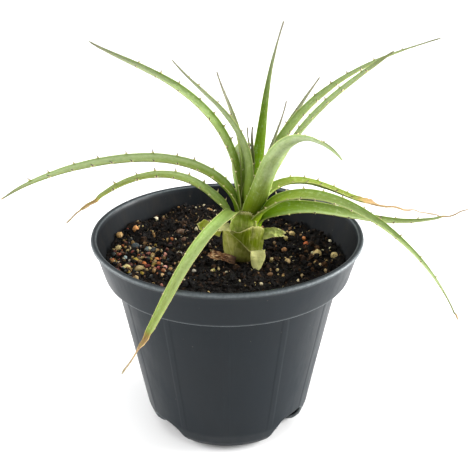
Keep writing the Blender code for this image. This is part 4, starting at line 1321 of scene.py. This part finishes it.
def build_stone(k, row, finish, rng):
    """A lumpy stone: an ellipsoid whose radius is scaled by layered noise and by a few flat
    facets, sunk a little into the soil."""
    x, y, rx, ry, rz, turn = row
    p = np.linspace(-np.pi / 2, np.pi / 2, 26)[1:-1, None]
    a = np.linspace(0, 2 * np.pi, 40, endpoint=False)[None, :]
    u = np.stack([np.cos(p) * np.cos(a), np.cos(p) * np.sin(a), np.sin(p) + 0 * a], -1)
    lump = 1 + 0.16 * drift(u[..., 0] * 1.6 + k, u[..., 1] * 1.6, u[..., 2] * 1.6, 61)
    lump = lump + 0.06 * drift(u[..., 0] * 5 + k, u[..., 1] * 5, u[..., 2] * 5, 62)
    cuts = rng.normal(0, 1, (7, 3))
    cuts /= np.linalg.norm(cuts, axis=1, keepdims=True)
    reach = np.clip((u @ cuts.T) / 0.86, 1e-3, None)
    lump = np.minimum(lump, 1.05 / reach.max(-1))
    t = math.radians(turn)
    q = u * lump[..., None] * np.array([rx, ry, rz])
    z = soil_height(x, y) + rz * (1 - 2 * STONE_SINK)
    grid = np.stack([x + q[..., 0] * math.cos(t) - q[..., 1] * math.sin(t),
                     y + q[..., 0] * math.sin(t) + q[..., 1] * math.cos(t), z + q[..., 2]], -1)
    body = Body()
    body.rings(grid, tints(STONE_TINT[k]))
    name = f"stone_{k + 1:02d}"
    return keep(body.build(name + "_rock", [finish]), "stone", name)


# ---------------------------------------------------------------- studio

WORLD = 0.76
FLOOR_HALF = 6.0
LIGHTS = (  # name, place, aim (m), side (m), power (W)
    ("side_right", (1.05, 0.10, 0.26), (0, 0, 0.05), 0.7, 36.0),
    ("side_left", (-1.05, 0.15, 0.26), (0, 0, 0.05), 0.7, 18.0),
    ("overhead", (-0.2, -0.6, 3.0), (0, 0, 0.08), 2.5, 41.0),
)
SENSOR, LENS = 36.0, 74.14          # mm
CAMERA_AIM = (0.0036, 0.0, 0.0913)  # m
CAMERA_AWAY, CAMERA_ABOVE = 0.430, 24.5     # m from the aim, degrees above the level


def light(name, where, towards, size, power):
    """A square soft light that the camera doesn't see."""
    data = bpy.data.lights.new(name, "AREA")
    data.shape, data.size, data.energy = "SQUARE", size, power
    obj = bpy.data.objects.new(name, data)
    bpy.context.scene.collection.objects.link(obj)
    obj.location = where
    aim = Vector(towards) - Vector(where)
    obj.rotation_euler = aim.to_track_quat("-Z", "Y").to_euler()
    obj.visible_camera = False


def studio():
    """Pale floor, white surroundings, two large side lights and one overhead, and the camera."""
    scene = bpy.context.scene
    scene.view_settings.view_transform = "Standard"
    world = bpy.data.worlds.new("studio")
    scene.world = world
    world.use_nodes = True
    back = world.node_tree.nodes["Background"]
    back.inputs["Color"].default_value = (1, 1, 1, 1)
    back.inputs["Strength"].default_value = WORLD
    mesh = bpy.data.meshes.new("studio_floor")
    w = FLOOR_HALF
    mesh.from_pydata([(-w, -w, 0), (w, -w, 0), (w, w, 0), (-w, w, 0)], [], [(0, 1, 2, 3)])
    mesh.materials.append(floor_finish())
    floor = bpy.data.objects.new("studio_floor", mesh)
    scene.collection.objects.link(floor)
    for row in LIGHTS:
        light(*row)
    data = bpy.data.cameras.new("camera")
    camera = bpy.data.objects.new("camera", data)
    scene.collection.objects.link(camera)
    data.sensor_width, data.lens = SENSOR, LENS
    data.clip_start, data.clip_end = 0.01, 50.0
    target, height = Vector(CAMERA_AIM), math.radians(CAMERA_ABOVE)
    camera.location = target + CAMERA_AWAY * Vector((0, -math.cos(height), math.sin(height)))
    camera.rotation_euler = (target - camera.location).to_track_quat("-Z", "Y").to_euler()
    scene.camera = camera


def main():
    blade, spine = blade_finish(), spine_finish()
    sheath, earth, crumb, grit = sheath_finish(), earth_finish(), crumb_finish(), grit_finish()
    papery = papery_finish()
    build_pot(plastic_finish())
    build_soil(earth)
    build_stem(stem_finish())
    for row in LEAVES:
        build_leaf(row, [blade, spine], RNG)
    for row in SHEATHS:
        build_sheath(row, [sheath, spine], RNG)
    for row in STUBS:
        build_stub(row, [papery if row[0] == "leaf_dried" else sheath])
    for k, row in enumerate(STONES):
        build_stone(k, row, grit, RNG)
    build_grit(grit, RNG)
    build_picked(grit, RNG)
    build_crumbs(crumb, RNG)
    build_fibres(crumb, RNG)
    studio()


main()
